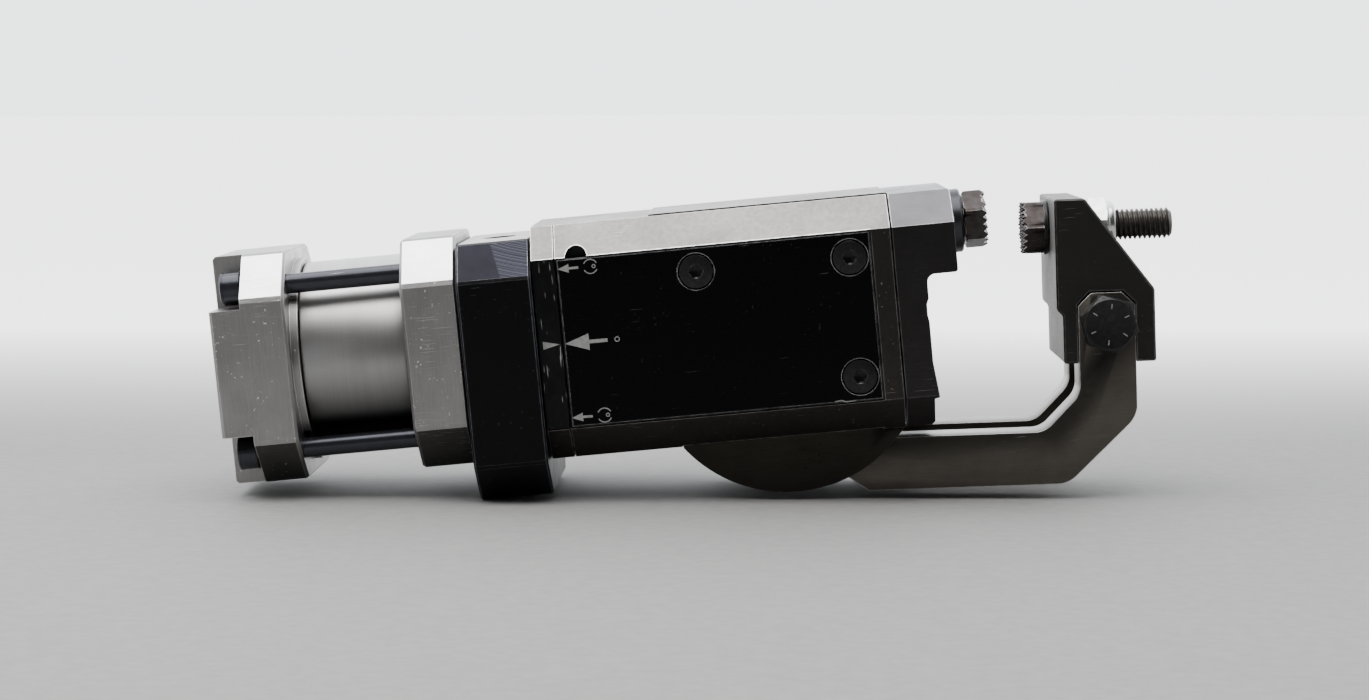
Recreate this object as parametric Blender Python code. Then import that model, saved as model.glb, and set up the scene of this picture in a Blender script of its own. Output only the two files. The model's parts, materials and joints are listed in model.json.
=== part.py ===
"""A swing-arm gripper driven by a short pneumatic cylinder.

The cylinder lies along +X. Its piston rod pushes a crosshead whose pin runs in
the curved slot of a cam lever, and the lever swings a two-plate arm about a
shaft across the housing. The arm carries a jaw block with an adjustable
serrated stud, which meets a serrated pad on a bracket at the housing's end.

Frame: origin on the cylinder's axis at the rear end face, +X towards the jaws,
+Z up, -Y towards the front cover. Lengths are metres.
"""
import math

import bmesh
import bpy
from mathutils import Vector
from mathutils.geometry import convex_hull_2d

MM = 0.001

# ---- clearances -------------------------------------------------------------
GAP = 0.3 * MM
FIT = 0.25 * MM

# ---- cylinder ---------------------------------------------------------------
HEAD_WIDTH = 58 * MM
HEAD_CHAMFER = 11 * MM
REAR_HEAD_LENGTH = 19 * MM
SEAT_RING_DIAMETER = 52 * MM
SEAT_RING_LENGTH = 2 * MM
BARREL_LENGTH = 27 * MM
BARREL_OUTER = 49.5 * MM
BORE = 40 * MM
SPIGOT_DIAMETER = 39.4 * MM
SPIGOT_LENGTH = 3.5 * MM
FRONT_HEAD_LENGTH = 14.1 * MM
CORNER_POCKET_DEPTH = 7.9 * MM
CORNER_POCKET_START = 15.9 * MM
TIE_SCREW_OFFSET = 20.8 * MM
TIE_SCREW_LENGTH = 90 * MM
TIE_HOLE_DIAMETER = 5.6 * MM
PORT_DIAMETER = 8.8 * MM
PORT_DEPTH = 10 * MM
PASSAGE_DIAMETER = 3 * MM
SEAL_GROOVE_INSET = 1 * MM
SEAL_GROOVE_LENGTH = 1.6 * MM
SEAL_GROOVE_DEPTH = 1.4 * MM
PISTON_LENGTH = 8 * MM
ROD_DIAMETER = 14 * MM
ROD_HOLE_DIAMETER = 15.6 * MM
ROD_BUSH_SEAT = 18.5 * MM
ROD_SEAL_SEAT = 21 * MM
ROD_SEAL_DEPTH = 4 * MM

# ---- mounting flange and neck -----------------------------------------------
FLANGE_LENGTH = 18.6 * MM
FLANGE_WIDTH = 64.5 * MM
FLANGE_CHAMFER = 9.1 * MM
FLANGE_DROP = 5.6 * MM
FLANGE_HOLE_DIAMETER = 8.7 * MM
NECK_LENGTH = 5.6 * MM
NECK_PLATE_THICKNESS = 2 * MM

# ---- housing ----------------------------------------------------------------
HOUSING_LENGTH = 83.3 * MM
HOUSING_HEIGHT = 58.6 * MM
HOUSING_DEPTH = 58 * MM
HOUSING_CHAMFER = 8 * MM
TOP_STRIP_START = 23.8 * MM
TOP_STRIP_HEIGHT = 0.4 * MM
END_WALL = 5.2 * MM
REAR_WALL = 3.4 * MM
COVER_THICKNESS = 4.7 * MM
COVER_LENGTH = 77.9 * MM
COVER_SCREW_HEAD = 8.5 * MM
COVER_SEAT_DIAMETER = 9.2 * MM
COVER_SEAT_DEPTH = 3.7 * MM

# ---- swing arm, measured from its pivot with the jaws shut -------------------
PIVOT_X = 142.2 * MM
PIVOT_Z = -8.2 * MM
SWING_DEG = 45.0
REST_OPENING_DEG = 3.2
CHEEK_RADIUS = 35.1 * MM
CHEEK_THICKNESS = 2.1 * MM
SHAFT_DIAMETER = 12 * MM
HUB_RADIUS = 12 * MM
BUSH_OUTER = 16 * MM
ARM_HALF_DEPTH = 18.5 * MM
ARM_PLATE_THICKNESS = 11.9 * MM
BAR_BOTTOM = -35.7 * MM
BAR_TOP = -22.4 * MM
ARM_OUTER_X = 87.8 * MM
ARM_INNER_X = 73.6 * MM
ARM_TOP = 12.2 * MM
GRIP_HEIGHT = 28.2 * MM

# ---- cam drive --------------------------------------------------------------
PIN_REACH_SHUT = 18 * MM
PIN_TRAVEL_PER_RADIAN = 14 * MM
PIN_DIAMETER = 8 * MM
LEVER_HALF_DEPTH = 6.2 * MM
LEVER_MARGIN = 7 * MM
CROSSHEAD_HALF_DEPTH = 12.4 * MM
CROSSHEAD_BACK = 21.3 * MM
CROSSHEAD_SLOT = 14.4 * MM

# ---- jaws -------------------------------------------------------------------
BRACKET_PLATE = 7.3 * MM
BRACKET_BLOCK = 15.4 * MM
BRACKET_BLOCK_BOTTOM = 8.9 * MM
STOP_RAMP_LOW = -21.9 * MM
STOP_RAMP_HIGH = -12.9 * MM
STOP_RAMP_HEIGHT = 1 * MM
SPACER_DIAMETER = 16.3 * MM
SPACER_LENGTH = 4.6 * MM
PAD_ACROSS_FLATS = 13 * MM
PAD_LENGTH = 5.8 * MM
TOOTH_DEPTH = 1.0 * MM
TOOTH_PITCH = 2.2 * MM
THREAD_DIAMETER = 7.9 * MM
STUD_TIP_X = 61.7 * MM
STUD_COLLAR_X = 67 * MM
STUD_SEAT_X = 68 * MM
STUD_END_X = 99.8 * MM
STUD_COLLAR_RADIUS = 6.3 * MM
NUT_SEAT_X = 77.7 * MM
NUT_END_X = 85.3 * MM
JAW_BOLT_X = 80.9 * MM
JAW_BOLT_Z = 4.6 * MM

# ---- roundness --------------------------------------------------------------
LARGE_ROUND = 36
MEDIUM_ROUND = 24
SMALL_ROUND = 18
HOLE_ROUND = 12
ARC_STEPS = 5

# ---- stations along the cylinder's axis ---------------------------------------
BARREL_X = REAR_HEAD_LENGTH + SEAT_RING_LENGTH
FRONT_HEAD_X = BARREL_X + BARREL_LENGTH
FLANGE_X = FRONT_HEAD_X + FRONT_HEAD_LENGTH + GAP
NECK_X = FLANGE_X + FLANGE_LENGTH + GAP
HOUSING_X = NECK_X + NECK_LENGTH + GAP
HOUSING_END_X = HOUSING_X + HOUSING_LENGTH
BRACKET_X = HOUSING_END_X + 0.5 * MM
BRACKET_END_X = BRACKET_X + BRACKET_BLOCK
SPACER_X = BRACKET_END_X + GAP
PAD_X = SPACER_X + SPACER_LENGTH + GAP
COVER_X = HOUSING_X + GAP
COVER_END_X = COVER_X + COVER_LENGTH

HALF_DEPTH = HOUSING_DEPTH / 2
COVER_INNER_Y = HALF_DEPTH - COVER_THICKNESS
CHEEK_INNER_Y = ARM_HALF_DEPTH + 0.4 * MM
CHEEK_OUTER_Y = CHEEK_INNER_Y + CHEEK_THICKNESS
FLAT_HALF_HEIGHT = HOUSING_HEIGHT / 2 - HOUSING_CHAMFER
TIE_SCREW_PLACES = [(y, z) for y in (-TIE_SCREW_OFFSET, TIE_SCREW_OFFSET)
                    for z in (-TIE_SCREW_OFFSET, TIE_SCREW_OFFSET)]
COVER_SCREW_PLACES = [(34.6 * MM, 14.9 * MM, 8 * MM),
                      (72.8 * MM, 14.9 * MM, 8 * MM),
                      (72.8 * MM, -14.9 * MM, 2.6 * MM)]
BRACKET_SCREW_PLACES = [(-17 * MM, 20 * MM), (17 * MM, 20 * MM),
                        (-17 * MM, -14 * MM), (17 * MM, -14 * MM)]
DOWEL_PLACES = [(9 * MM, -14 * MM), (14.5 * MM, -22.5 * MM)]

# Rotations that turn a piece's own +Z axis to the named direction.
TO_PLUS_X = (0, math.pi / 2, 0)
TO_MINUS_X = (0, -math.pi / 2, 0)
TO_PLUS_Y = (-math.pi / 2, 0, 0)
TO_MINUS_Y = (math.pi / 2, 0, 0)
TO_MINUS_Z = (math.pi, 0, 0)


# ---- scene and materials ------------------------------------------------------
def clear_scene():
    for obj in list(bpy.data.objects):
        bpy.data.objects.remove(obj)


def make_material(name, colour, roughness, metallic):
    material = bpy.data.materials.new(name)
    material.use_nodes = True
    shader = material.node_tree.nodes["Principled BSDF"]
    shader.inputs["Base Color"].default_value = (*colour, 1)
    shader.inputs["Roughness"].default_value = roughness
    shader.inputs["Metallic"].default_value = metallic
    material.diffuse_color = (*colour, 1)
    return material


def make_materials():
    return {
        "machined_aluminium": make_material("machined_aluminium", (0.62, 0.61, 0.59), 0.38, 0.9),
        "satin_steel": make_material("satin_steel", (0.56, 0.56, 0.55), 0.3, 1.0),
        "black_anodised": make_material("black_anodised", (0.03, 0.03, 0.032), 0.42, 0.5),
        "burnished_steel": make_material("burnished_steel", (0.16, 0.14, 0.12), 0.42, 0.9),
        "black_oxide_steel": make_material("black_oxide_steel", (0.035, 0.034, 0.034), 0.4, 0.7),
        "zinc_plated": make_material("zinc_plated", (0.68, 0.68, 0.66), 0.28, 1.0),
        "bronze": make_material("bronze", (0.5, 0.33, 0.16), 0.35, 1.0),
        "rubber": make_material("rubber", (0.02, 0.02, 0.02), 0.7, 0.0),
    }


# ---- outlines -----------------------------------------------------------------
def octagon(width, height, chamfer, middle=0.0):
    """A rectangle with its corners cut at 45 degrees, as (across, up) points."""
    w, h, c = width / 2, height / 2, chamfer
    corners = [(w, c - h), (w, h - c), (w - c, h), (c - w, h),
               (-w, h - c), (-w, c - h), (c - w, -h), (w - c, -h)]
    return [(a, b + middle) for a, b in corners]


def circle(centre, radius, count=SMALL_ROUND):
    turn = 2 * math.pi / count
    return [(centre[0] + radius * math.cos(i * turn), centre[1] + radius * math.sin(i * turn))
            for i in range(count)]


def arc(centre, radius, start, end, steps):
    """Points along an arc, both ends included. Angles are radians."""
    step = (end - start) / steps
    return [(centre[0] + radius * math.cos(start + i * step),
             centre[1] + radius * math.sin(start + i * step)) for i in range(steps + 1)]


def rounded(corners, steps=ARC_STEPS):
    """An outline whose (x, z, radius) corners are rounded where the radius isn't 0."""
    points = []
    for i, (x, z, radius) in enumerate(corners):
        corner = Vector((x, z))
        if radius == 0:
            points.append((x, z))
            continue
        before = (Vector(corners[i - 1][:2]) - corner).normalized()
        after = (Vector(corners[(i + 1) % len(corners)][:2]) - corner).normalized()
        half = before.angle(after) / 2
        middle = corner + (before + after).normalized() * radius / math.sin(half)
        first = corner + before * radius / math.tan(half) - middle
        last = corner + after * radius / math.tan(half) - middle
        start = math.atan2(first.y, first.x)
        sweep = math.remainder(math.atan2(last.y, last.x) - start, 2 * math.pi)
        points += arc(middle, radius, start, start + sweep, steps)
    return points


def tangent_angle(point, radius, side):
    """Angle, about the pivot, at which a line from a point touches a circle there."""
    reach = math.hypot(*point)
    return math.atan2(point[1], point[0]) + side * math.acos(radius / reach)


def hull(points):
    return [points[i] for i in convex_hull_2d(points)]


# ---- solids -------------------------------------------------------------------
def add_object(name, bm, material=None, parent=None, smooth_angle=None):
    bmesh.ops.recalc_face_normals(bm, faces=bm.faces)
    mesh = bpy.data.meshes.new(name)
    bm.to_mesh(mesh)
    bm.free()
    if smooth_angle is not None:
        mesh.shade_smooth()
        mesh.set_sharp_from_angle(angle=math.radians(smooth_angle))
    obj = bpy.data.objects.new(name, mesh)
    bpy.context.scene.collection.objects.link(obj)
    if material is not None:
        mesh.materials.append(material)
    obj.parent = parent
    return obj


def prism(name, outline, low, high, along, material=None, parent=None, smooth_angle=None):
    """An outline extruded along X, as (y, z) points, or along Y, as (x, z) points."""
    bm = bmesh.new()
    if along == "X":
        verts = [bm.verts.new((low, a, b)) for a, b in outline]
        travel = (high - low, 0, 0)
    else:
        verts = [bm.verts.new((a, low, b)) for a, b in outline]
        travel = (0, high - low, 0)
    face = bm.faces.new(verts)
    extruded = bmesh.ops.extrude_face_region(bm, geom=[face], use_keep_orig=True)
    moved = [v for v in extruded["geom"] if isinstance(v, bmesh.types.BMVert)]
    bmesh.ops.translate(bm, verts=moved, vec=travel)
    return add_object(name, bm, material, parent, smooth_angle)


def block(name, low, high, material=None, parent=None):
    outline = [(low[1], low[2]), (high[1], low[2]), (high[1], high[2]), (low[1], high[2])]
    return prism(name, outline, low[0], high[0], "X", material, parent)


def turned(name, rings, location, rotation, material=None, parent=None,
           segments=SMALL_ROUND, holed=False):
    """A solid of rings stacked along its own Z axis.

    A ring is (height, radius), or (height, half of the width across flats, "hex").
    A holed solid joins its last ring to its first; any other is capped at both ends.
    """
    bm = bmesh.new()
    loops = []
    for height, radius, *shape in rings:
        loop = []
        for i in range(segments):
            angle = 2 * math.pi * i / segments
            reach = radius
            if shape:
                reach = radius / math.cos(angle % (math.pi / 3) - math.pi / 6)
            loop.append(bm.verts.new((reach * math.cos(angle), reach * math.sin(angle), height)))
        loops.append(loop)
    pairs = list(zip(loops, loops[1:]))
    if holed:
        pairs.append((loops[-1], loops[0]))
    for lower, upper in pairs:
        for i in range(segments):
            j = (i + 1) % segments
            bm.faces.new((lower[i], lower[j], upper[j], upper[i]))
    if not holed:
        for loop, (height, _, *shape) in ((loops[0], rings[0]), (loops[-1], rings[-1])):
            if not shape:
                bm.faces.new(loop)
                continue
            centre = bm.verts.new((0, 0, height))
            for i in range(segments):
                bm.faces.new((loop[i], loop[(i + 1) % segments], centre))
    obj = add_object(name, bm, material, parent, smooth_angle=35)
    obj.location = location
    obj.rotation_euler = rotation
    return obj


def cylinder(name, start, length, diameter, rotation, material=None, parent=None,
             segments=HOLE_ROUND):
    rings = [(0, diameter / 2), (length, diameter / 2)]
    return turned(name, rings, start, rotation, material, parent, segments)


def bevel_edges(obj, width, segments=1):
    bevel = obj.modifiers.new("bevel", "BEVEL")
    bevel.width = width
    bevel.segments = segments
    bevel.limit_method = "ANGLE"
    bevel.angle_limit = math.radians(30)
    return obj


def combine(target, tool, operation):
    tool.hide_render = True
    tool.display_type = "WIRE"
    boolean = target.modifiers.new(tool.name, "BOOLEAN")
    boolean.operation = operation
    boolean.solver = "EXACT"
    boolean.object = tool


def cut(target, *tools):
    for tool in tools:
        combine(target, tool, "DIFFERENCE")


def fuse(target, *tools):
    for tool in tools:
        combine(target, tool, "UNION")


def socket_screw(name, place, rotation, diameter, head, head_height, socket, length,
                 material, parent=None):
    """A cap screw whose head's underside is at its origin, pointing along its own +Z."""
    rings = [(length, diameter / 2),
             (0, diameter / 2),
             (0, head / 2),
             (-head_height, head / 2),
             (-head_height, socket / 2, "hex"),
             (-0.45 * head_height, socket / 2, "hex")]
    return turned(name, rings, place, rotation, material, parent)


# ---- cylinder -----------------------------------------------------------------
def tie_screw_holes(prefix, low, length, diameter):
    return [cylinder(f"{prefix}_tie_hole_{i}", (low, y, z), length, diameter, TO_PLUS_X)
            for i, (y, z) in enumerate(TIE_SCREW_PLACES, 1)]


def make_rear_head(materials):
    head = prism("rear_head", octagon(HEAD_WIDTH, HEAD_WIDTH, HEAD_CHAMFER),
                 0, REAR_HEAD_LENGTH, "X", materials["machined_aluminium"])
    bevel_edges(head, 0.7 * MM)
    groove_low = REAR_HEAD_LENGTH + SEAT_RING_LENGTH + SEAL_GROOVE_INSET
    groove_high = groove_low + SEAL_GROOVE_LENGTH
    groove_radius = SPIGOT_DIAMETER / 2 - SEAL_GROOVE_DEPTH
    rings = [(REAR_HEAD_LENGTH - MM, SEAT_RING_DIAMETER / 2),
             (REAR_HEAD_LENGTH + SEAT_RING_LENGTH, SEAT_RING_DIAMETER / 2),
             (REAR_HEAD_LENGTH + SEAT_RING_LENGTH, SPIGOT_DIAMETER / 2),
             (groove_low, SPIGOT_DIAMETER / 2),
             (groove_low, groove_radius),
             (groove_high, groove_radius),
             (groove_high, SPIGOT_DIAMETER / 2),
             (BARREL_X + SPIGOT_LENGTH, SPIGOT_DIAMETER / 2)]
    spigot = turned("rear_spigot", rings, (0, 0, 0), TO_PLUS_X, segments=LARGE_ROUND)
    fuse(head, spigot)
    reach = HEAD_WIDTH
    for i, (y, z) in enumerate(TIE_SCREW_PLACES, 1):
        across = sorted((math.copysign(CORNER_POCKET_START, y), math.copysign(reach, y)))
        up = sorted((math.copysign(CORNER_POCKET_START, z), math.copysign(reach, z)))
        cut(head, block(f"corner_pocket_{i}", (-MM, across[0], up[0]),
                        (CORNER_POCKET_DEPTH, across[1], up[1])))
    cut(head, *tie_screw_holes("rear_head", -MM, REAR_HEAD_LENGTH + 3 * MM, TIE_HOLE_DIAMETER))
    port_x = 12 * MM
    passage_y = HEAD_WIDTH / 2 - 14 * MM
    cut(head,
        cylinder("rear_port", (port_x, HEAD_WIDTH / 2 + MM, 0), PORT_DEPTH + MM, PORT_DIAMETER,
                 TO_MINUS_Y, segments=MEDIUM_ROUND),
        cylinder("rear_passage", (port_x, passage_y, 0), 14 * MM, PASSAGE_DIAMETER, TO_PLUS_X))
    return head


def make_barrel(materials):
    outer, inner = BARREL_OUTER / 2, BORE / 2
    low, high = BARREL_X + GAP, FRONT_HEAD_X - GAP
    lip = 0.5 * MM
    rings = [(low, inner), (low, outer - lip), (low + lip, outer),
             (high - lip, outer), (high, outer - lip), (high, inner)]
    return turned("barrel", rings, (0, 0, 0), TO_PLUS_X, materials["satin_steel"],
                  segments=LARGE_ROUND, holed=True)


def make_front_head(materials):
    head = prism("front_head", octagon(HEAD_WIDTH, HEAD_WIDTH, HEAD_CHAMFER),
                 FRONT_HEAD_X, FRONT_HEAD_X + FRONT_HEAD_LENGTH, "X",
                 materials["machined_aluminium"])
    bevel_edges(head, 0.7 * MM)
    groove_high = FRONT_HEAD_X - SEAL_GROOVE_INSET
    groove_low = groove_high - SEAL_GROOVE_LENGTH
    groove_radius = SPIGOT_DIAMETER / 2 - SEAL_GROOVE_DEPTH
    rings = [(FRONT_HEAD_X - SPIGOT_LENGTH, SPIGOT_DIAMETER / 2),
             (groove_low, SPIGOT_DIAMETER / 2),
             (groove_low, groove_radius),
             (groove_high, groove_radius),
             (groove_high, SPIGOT_DIAMETER / 2),
             (FRONT_HEAD_X + MM, SPIGOT_DIAMETER / 2)]
    fuse(head, turned("front_spigot", rings, (0, 0, 0), TO_PLUS_X, segments=LARGE_ROUND))
    low = FRONT_HEAD_X - SPIGOT_LENGTH - MM
    port_x = FRONT_HEAD_X + 7 * MM
    passage_y = HEAD_WIDTH / 2 - 14 * MM
    end = FRONT_HEAD_X + FRONT_HEAD_LENGTH
    cut(head,
        cylinder("front_head_rod_hole", (low, 0, 0), 30 * MM, ROD_DIAMETER + 1.0 * MM, TO_PLUS_X,
                 segments=MEDIUM_ROUND),
        cylinder("rod_bush_seat", (FRONT_HEAD_X, 0, 0), 10 * MM, ROD_BUSH_SEAT, TO_PLUS_X,
                 segments=MEDIUM_ROUND),
        cylinder("rod_seal_seat", (end - ROD_SEAL_DEPTH, 0, 0), 10 * MM, ROD_SEAL_SEAT, TO_PLUS_X,
                 segments=MEDIUM_ROUND),
        cylinder("front_port", (port_x, HEAD_WIDTH / 2 + MM, 0), PORT_DEPTH + MM, PORT_DIAMETER,
                 TO_MINUS_Y, segments=MEDIUM_ROUND),
        cylinder("front_passage", (port_x, passage_y, 0), 12 * MM, PASSAGE_DIAMETER, TO_MINUS_X))
    cut(head, *tie_screw_holes("front_head", FRONT_HEAD_X - MM, 20 * MM, TIE_HOLE_DIAMETER))
    return head


def make_ring(name, inner, outer, low, high, material, parent=None, segments=MEDIUM_ROUND):
    rings = [(low, inner / 2), (low, outer / 2), (high, outer / 2), (high, inner / 2)]
    return turned(name, rings, (0, 0, 0), TO_PLUS_X, material, parent, segments, holed=True)


def make_cylinder_fittings(materials):
    ring_inner = SPIGOT_DIAMETER - 2.3 * MM
    ring_outer = BORE - 0.3 * MM
    rear = BARREL_X + 1.2 * MM
    front = FRONT_HEAD_X - 2.4 * MM
    make_ring("barrel_seal_rear", ring_inner, ring_outer, rear, rear + 1.2 * MM,
              materials["rubber"], segments=LARGE_ROUND)
    make_ring("barrel_seal_front", ring_inner, ring_outer, front, front + 1.2 * MM,
              materials["rubber"], segments=LARGE_ROUND)
    make_ring("rod_bush", ROD_DIAMETER + 0.4 * MM, ROD_BUSH_SEAT - 0.5 * MM, FRONT_HEAD_X + GAP,
              FRONT_HEAD_X + 9.7 * MM, materials["bronze"])
    end = FRONT_HEAD_X + FRONT_HEAD_LENGTH
    make_ring("rod_seal", ROD_DIAMETER + 0.4 * MM, ROD_SEAL_SEAT - 0.6 * MM,
              end - ROD_SEAL_DEPTH + GAP, end - GAP, materials["rubber"])
    for i, (y, z) in enumerate(TIE_SCREW_PLACES, 1):
        socket_screw(f"tie_screw_{i}", (CORNER_POCKET_DEPTH - GAP, y, z), TO_PLUS_X, 5 * MM,
                     8.5 * MM, 5 * MM, 4 * MM, TIE_SCREW_LENGTH, materials["black_oxide_steel"])


# ---- mounting flange and neck ---------------------------------------------------
def make_mounting_flange(materials):
    flange = prism("mounting_flange",
                   octagon(FLANGE_WIDTH, FLANGE_WIDTH, FLANGE_CHAMFER, -FLANGE_DROP),
                   FLANGE_X, FLANGE_X + FLANGE_LENGTH, "X", materials["black_anodised"])
    bevel_edges(flange, 0.5 * MM)
    top = FLANGE_WIDTH / 2 - FLANGE_DROP
    middle = FLANGE_X + FLANGE_LENGTH / 2
    cut(flange,
        cylinder("flange_rod_hole", (FLANGE_X - MM, 0, 0), FLANGE_LENGTH + 2 * MM,
                 ROD_HOLE_DIAMETER, TO_PLUS_X, segments=MEDIUM_ROUND),
        cylinder("flange_top_hole", (middle, 0, top + MM), 13 * MM, FLANGE_HOLE_DIAMETER,
                 TO_MINUS_Z, segments=MEDIUM_ROUND))
    cut(flange, *tie_screw_holes("flange", FLANGE_X - MM, FLANGE_LENGTH + 2 * MM, TIE_HOLE_DIAMETER))
    return flange


def make_neck(materials):
    neck = prism("neck_block", octagon(HOUSING_DEPTH, HOUSING_HEIGHT, HOUSING_CHAMFER),
                 NECK_X, NECK_X + NECK_LENGTH, "X", materials["machined_aluminium"])
    cut(neck, cylinder("neck_rod_hole", (NECK_X - MM, 0, 0), NECK_LENGTH + 2 * MM,
                       ROD_HOLE_DIAMETER, TO_PLUS_X, segments=MEDIUM_ROUND))
    cut(neck, *tie_screw_holes("neck", NECK_X - MM, NECK_LENGTH + 2 * MM, TIE_HOLE_DIAMETER))
    inner = HALF_DEPTH - NECK_PLATE_THICKNESS
    for side, label in ((-1, "front"), (1, "rear")):
        low, high = sorted((side * (inner - GAP), side * (HALF_DEPTH + MM)))
        cut(neck, block(f"neck_recess_{label}", (NECK_X - MM, low, -FLAT_HALF_HEIGHT),
                        (HOUSING_X, high, FLAT_HALF_HEIGHT)))
        low, high = sorted((side * inner, side * HALF_DEPTH))
        block(f"neck_plate_{label}", (NECK_X, low, GAP - FLAT_HALF_HEIGHT),
              (NECK_X + NECK_LENGTH, high, FLAT_HALF_HEIGHT - GAP), materials["black_anodised"])
    return neck


# ---- housing --------------------------------------------------------------------
def make_housing(materials):
    housing = prism("housing", octagon(HOUSING_DEPTH, HOUSING_HEIGHT, HOUSING_CHAMFER),
                    HOUSING_X, HOUSING_END_X, "X", materials["machined_aluminium"])
    strip_half = HALF_DEPTH - HOUSING_CHAMFER - 0.5 * MM
    top = HOUSING_HEIGHT / 2
    fuse(housing, block("top_strip", (HOUSING_X + TOP_STRIP_START, -strip_half, top - MM),
                        (HOUSING_END_X, strip_half, top + TOP_STRIP_HEIGHT)))
    channel_half = CROSSHEAD_HALF_DEPTH + GAP
    channel_height = LEVER_MARGIN + GAP
    lever_half = LEVER_HALF_DEPTH + 0.7 * MM
    pocket_half = CHEEK_OUTER_Y + GAP
    pocket_low_x = PIVOT_X - 28 * MM
    pocket_end_x = HOUSING_END_X - END_WALL
    below = -HOUSING_HEIGHT / 2 - 5 * MM
    cut(housing,
        block("crosshead_channel", (HOUSING_X + REAR_WALL, -channel_half, -channel_height),
              (PIVOT_X, channel_half, channel_height)),
        block("lever_slot", (PIVOT_X - 38.4 * MM, -lever_half, below),
              (pocket_end_x, lever_half, 20.5 * MM)),
        block("arm_pocket", (pocket_low_x, -pocket_half, below),
              (pocket_end_x, pocket_half, 6.3 * MM)),
        block("arm_relief", (pocket_end_x - MM, -ARM_HALF_DEPTH - 0.6 * MM, below),
              (HOUSING_END_X + MM, ARM_HALF_DEPTH + 0.6 * MM, -26 * MM)),
        cylinder("housing_rod_hole", (HOUSING_X - MM, 0, 0), 10 * MM, ROD_HOLE_DIAMETER,
                 TO_PLUS_X, segments=MEDIUM_ROUND),
        cylinder("pivot_bore", (PIVOT_X, -COVER_INNER_Y - MM, PIVOT_Z), 2 * COVER_INNER_Y + 2 * MM,
                 BUSH_OUTER + 2 * FIT, TO_PLUS_Y, segments=MEDIUM_ROUND))
    cut(housing, *tie_screw_holes("housing", HOUSING_X - MM, 14 * MM, TIE_HOLE_DIAMETER))
    for side, label in ((-1, "front"), (1, "rear")):
        low, high = sorted((side * (COVER_INNER_Y - GAP), side * (HALF_DEPTH + MM)))
        cut(housing, block(f"cover_recess_{label}", (COVER_X - 2 * MM, low, -FLAT_HALF_HEIGHT),
                           (COVER_END_X + GAP, high, FLAT_HALF_HEIGHT)))
        for i, (x, z, length) in enumerate(COVER_SCREW_PLACES, 1):
            rotation = TO_PLUS_Y if side < 0 else TO_MINUS_Y
            cut(housing, cylinder(f"cover_screw_hole_{label}_{i}",
                                  (HOUSING_X + x, side * (COVER_INNER_Y + MM), z),
                                  length + 2 * MM, 5.5 * MM, rotation))
    for i, (y, z) in enumerate(BRACKET_SCREW_PLACES, 1):
        depth = 12 * MM if z > 0 else 7 * MM
        cut(housing, cylinder(f"bracket_thread_{i}", (HOUSING_END_X + MM, y, z), depth, 6.5 * MM,
                              TO_MINUS_X))
    cut(housing, cylinder("chamfer_notch", (HOUSING_X + 5.3 * MM, -HALF_DEPTH - MM, FLAT_HALF_HEIGHT),
                          6 * MM, 5.5 * MM, TO_PLUS_Y, segments=MEDIUM_ROUND))
    return housing


def make_side_cover(side, label, materials):
    low, high = sorted((side * COVER_INNER_Y, side * HALF_DEPTH))
    cover = block(f"side_cover_{label}", (COVER_X, low, GAP - FLAT_HALF_HEIGHT),
                  (COVER_END_X, high, FLAT_HALF_HEIGHT - GAP), materials["black_anodised"])
    bevel_edges(cover, 0.3 * MM)
    rotation = TO_PLUS_Y if side < 0 else TO_MINUS_Y
    for i, (x, z, length) in enumerate(COVER_SCREW_PLACES, 1):
        x = HOUSING_X + x
        cut(cover,
            cylinder(f"{label}_counterbore_{i}", (x, side * (HALF_DEPTH + MM), z),
                     COVER_SEAT_DEPTH + MM, COVER_SEAT_DIAMETER, rotation, segments=MEDIUM_ROUND),
            cylinder(f"{label}_cover_hole_{i}", (x, side * (HALF_DEPTH - MM), z), 8 * MM, 5.6 * MM,
                     rotation))
        seat = HALF_DEPTH - COVER_SEAT_DEPTH + 0.15 * MM
        number = i if side < 0 else i + len(COVER_SCREW_PLACES)
        socket_screw(f"cover_screw_{number}", (x, side * seat, z), rotation, 5 * MM,
                     COVER_SCREW_HEAD, 3.4 * MM, 3 * MM, length, materials["black_oxide_steel"])
    return cover


def make_cheek(side, label, materials):
    """A wear plate with a round lower edge about the pivot, beside the arm's hub."""
    low_z = -HOUSING_HEIGHT / 2 - GAP
    drop = low_z - PIVOT_Z
    half_chord = math.sqrt(CHEEK_RADIUS ** 2 - drop ** 2)
    left, right = PIVOT_X - half_chord + GAP, HOUSING_END_X - END_WALL - GAP
    start = math.atan2(drop, -half_chord)
    end = math.atan2(drop, half_chord)
    outline = [(right, low_z), (right, 6 * MM), (left, 6 * MM)]
    outline += arc((PIVOT_X, PIVOT_Z), CHEEK_RADIUS, start, end, 20)
    low, high = sorted((side * CHEEK_INNER_Y, side * CHEEK_OUTER_Y))
    cheek = prism(f"cheek_plate_{label}", outline, low, high, "Y", materials["burnished_steel"])
    cut(cheek, cylinder(f"cheek_hole_{label}", (PIVOT_X, -HALF_DEPTH, PIVOT_Z), HOUSING_DEPTH,
                        BUSH_OUTER + 2 * FIT, TO_PLUS_Y, segments=MEDIUM_ROUND))
    return cheek


def make_pivot_bush(side, label, materials):
    near, far = CHEEK_INNER_Y, COVER_INNER_Y - 0.5 * MM
    rings = [(near, SHAFT_DIAMETER / 2 + FIT), (near, BUSH_OUTER / 2),
             (far, BUSH_OUTER / 2), (far, SHAFT_DIAMETER / 2 + FIT)]
    rotation = TO_MINUS_Y if side < 0 else TO_PLUS_Y
    return turned(f"pivot_bush_{label}", rings, (PIVOT_X, 0, PIVOT_Z), rotation,
                  materials["bronze"], segments=MEDIUM_ROUND, holed=True)


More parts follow.
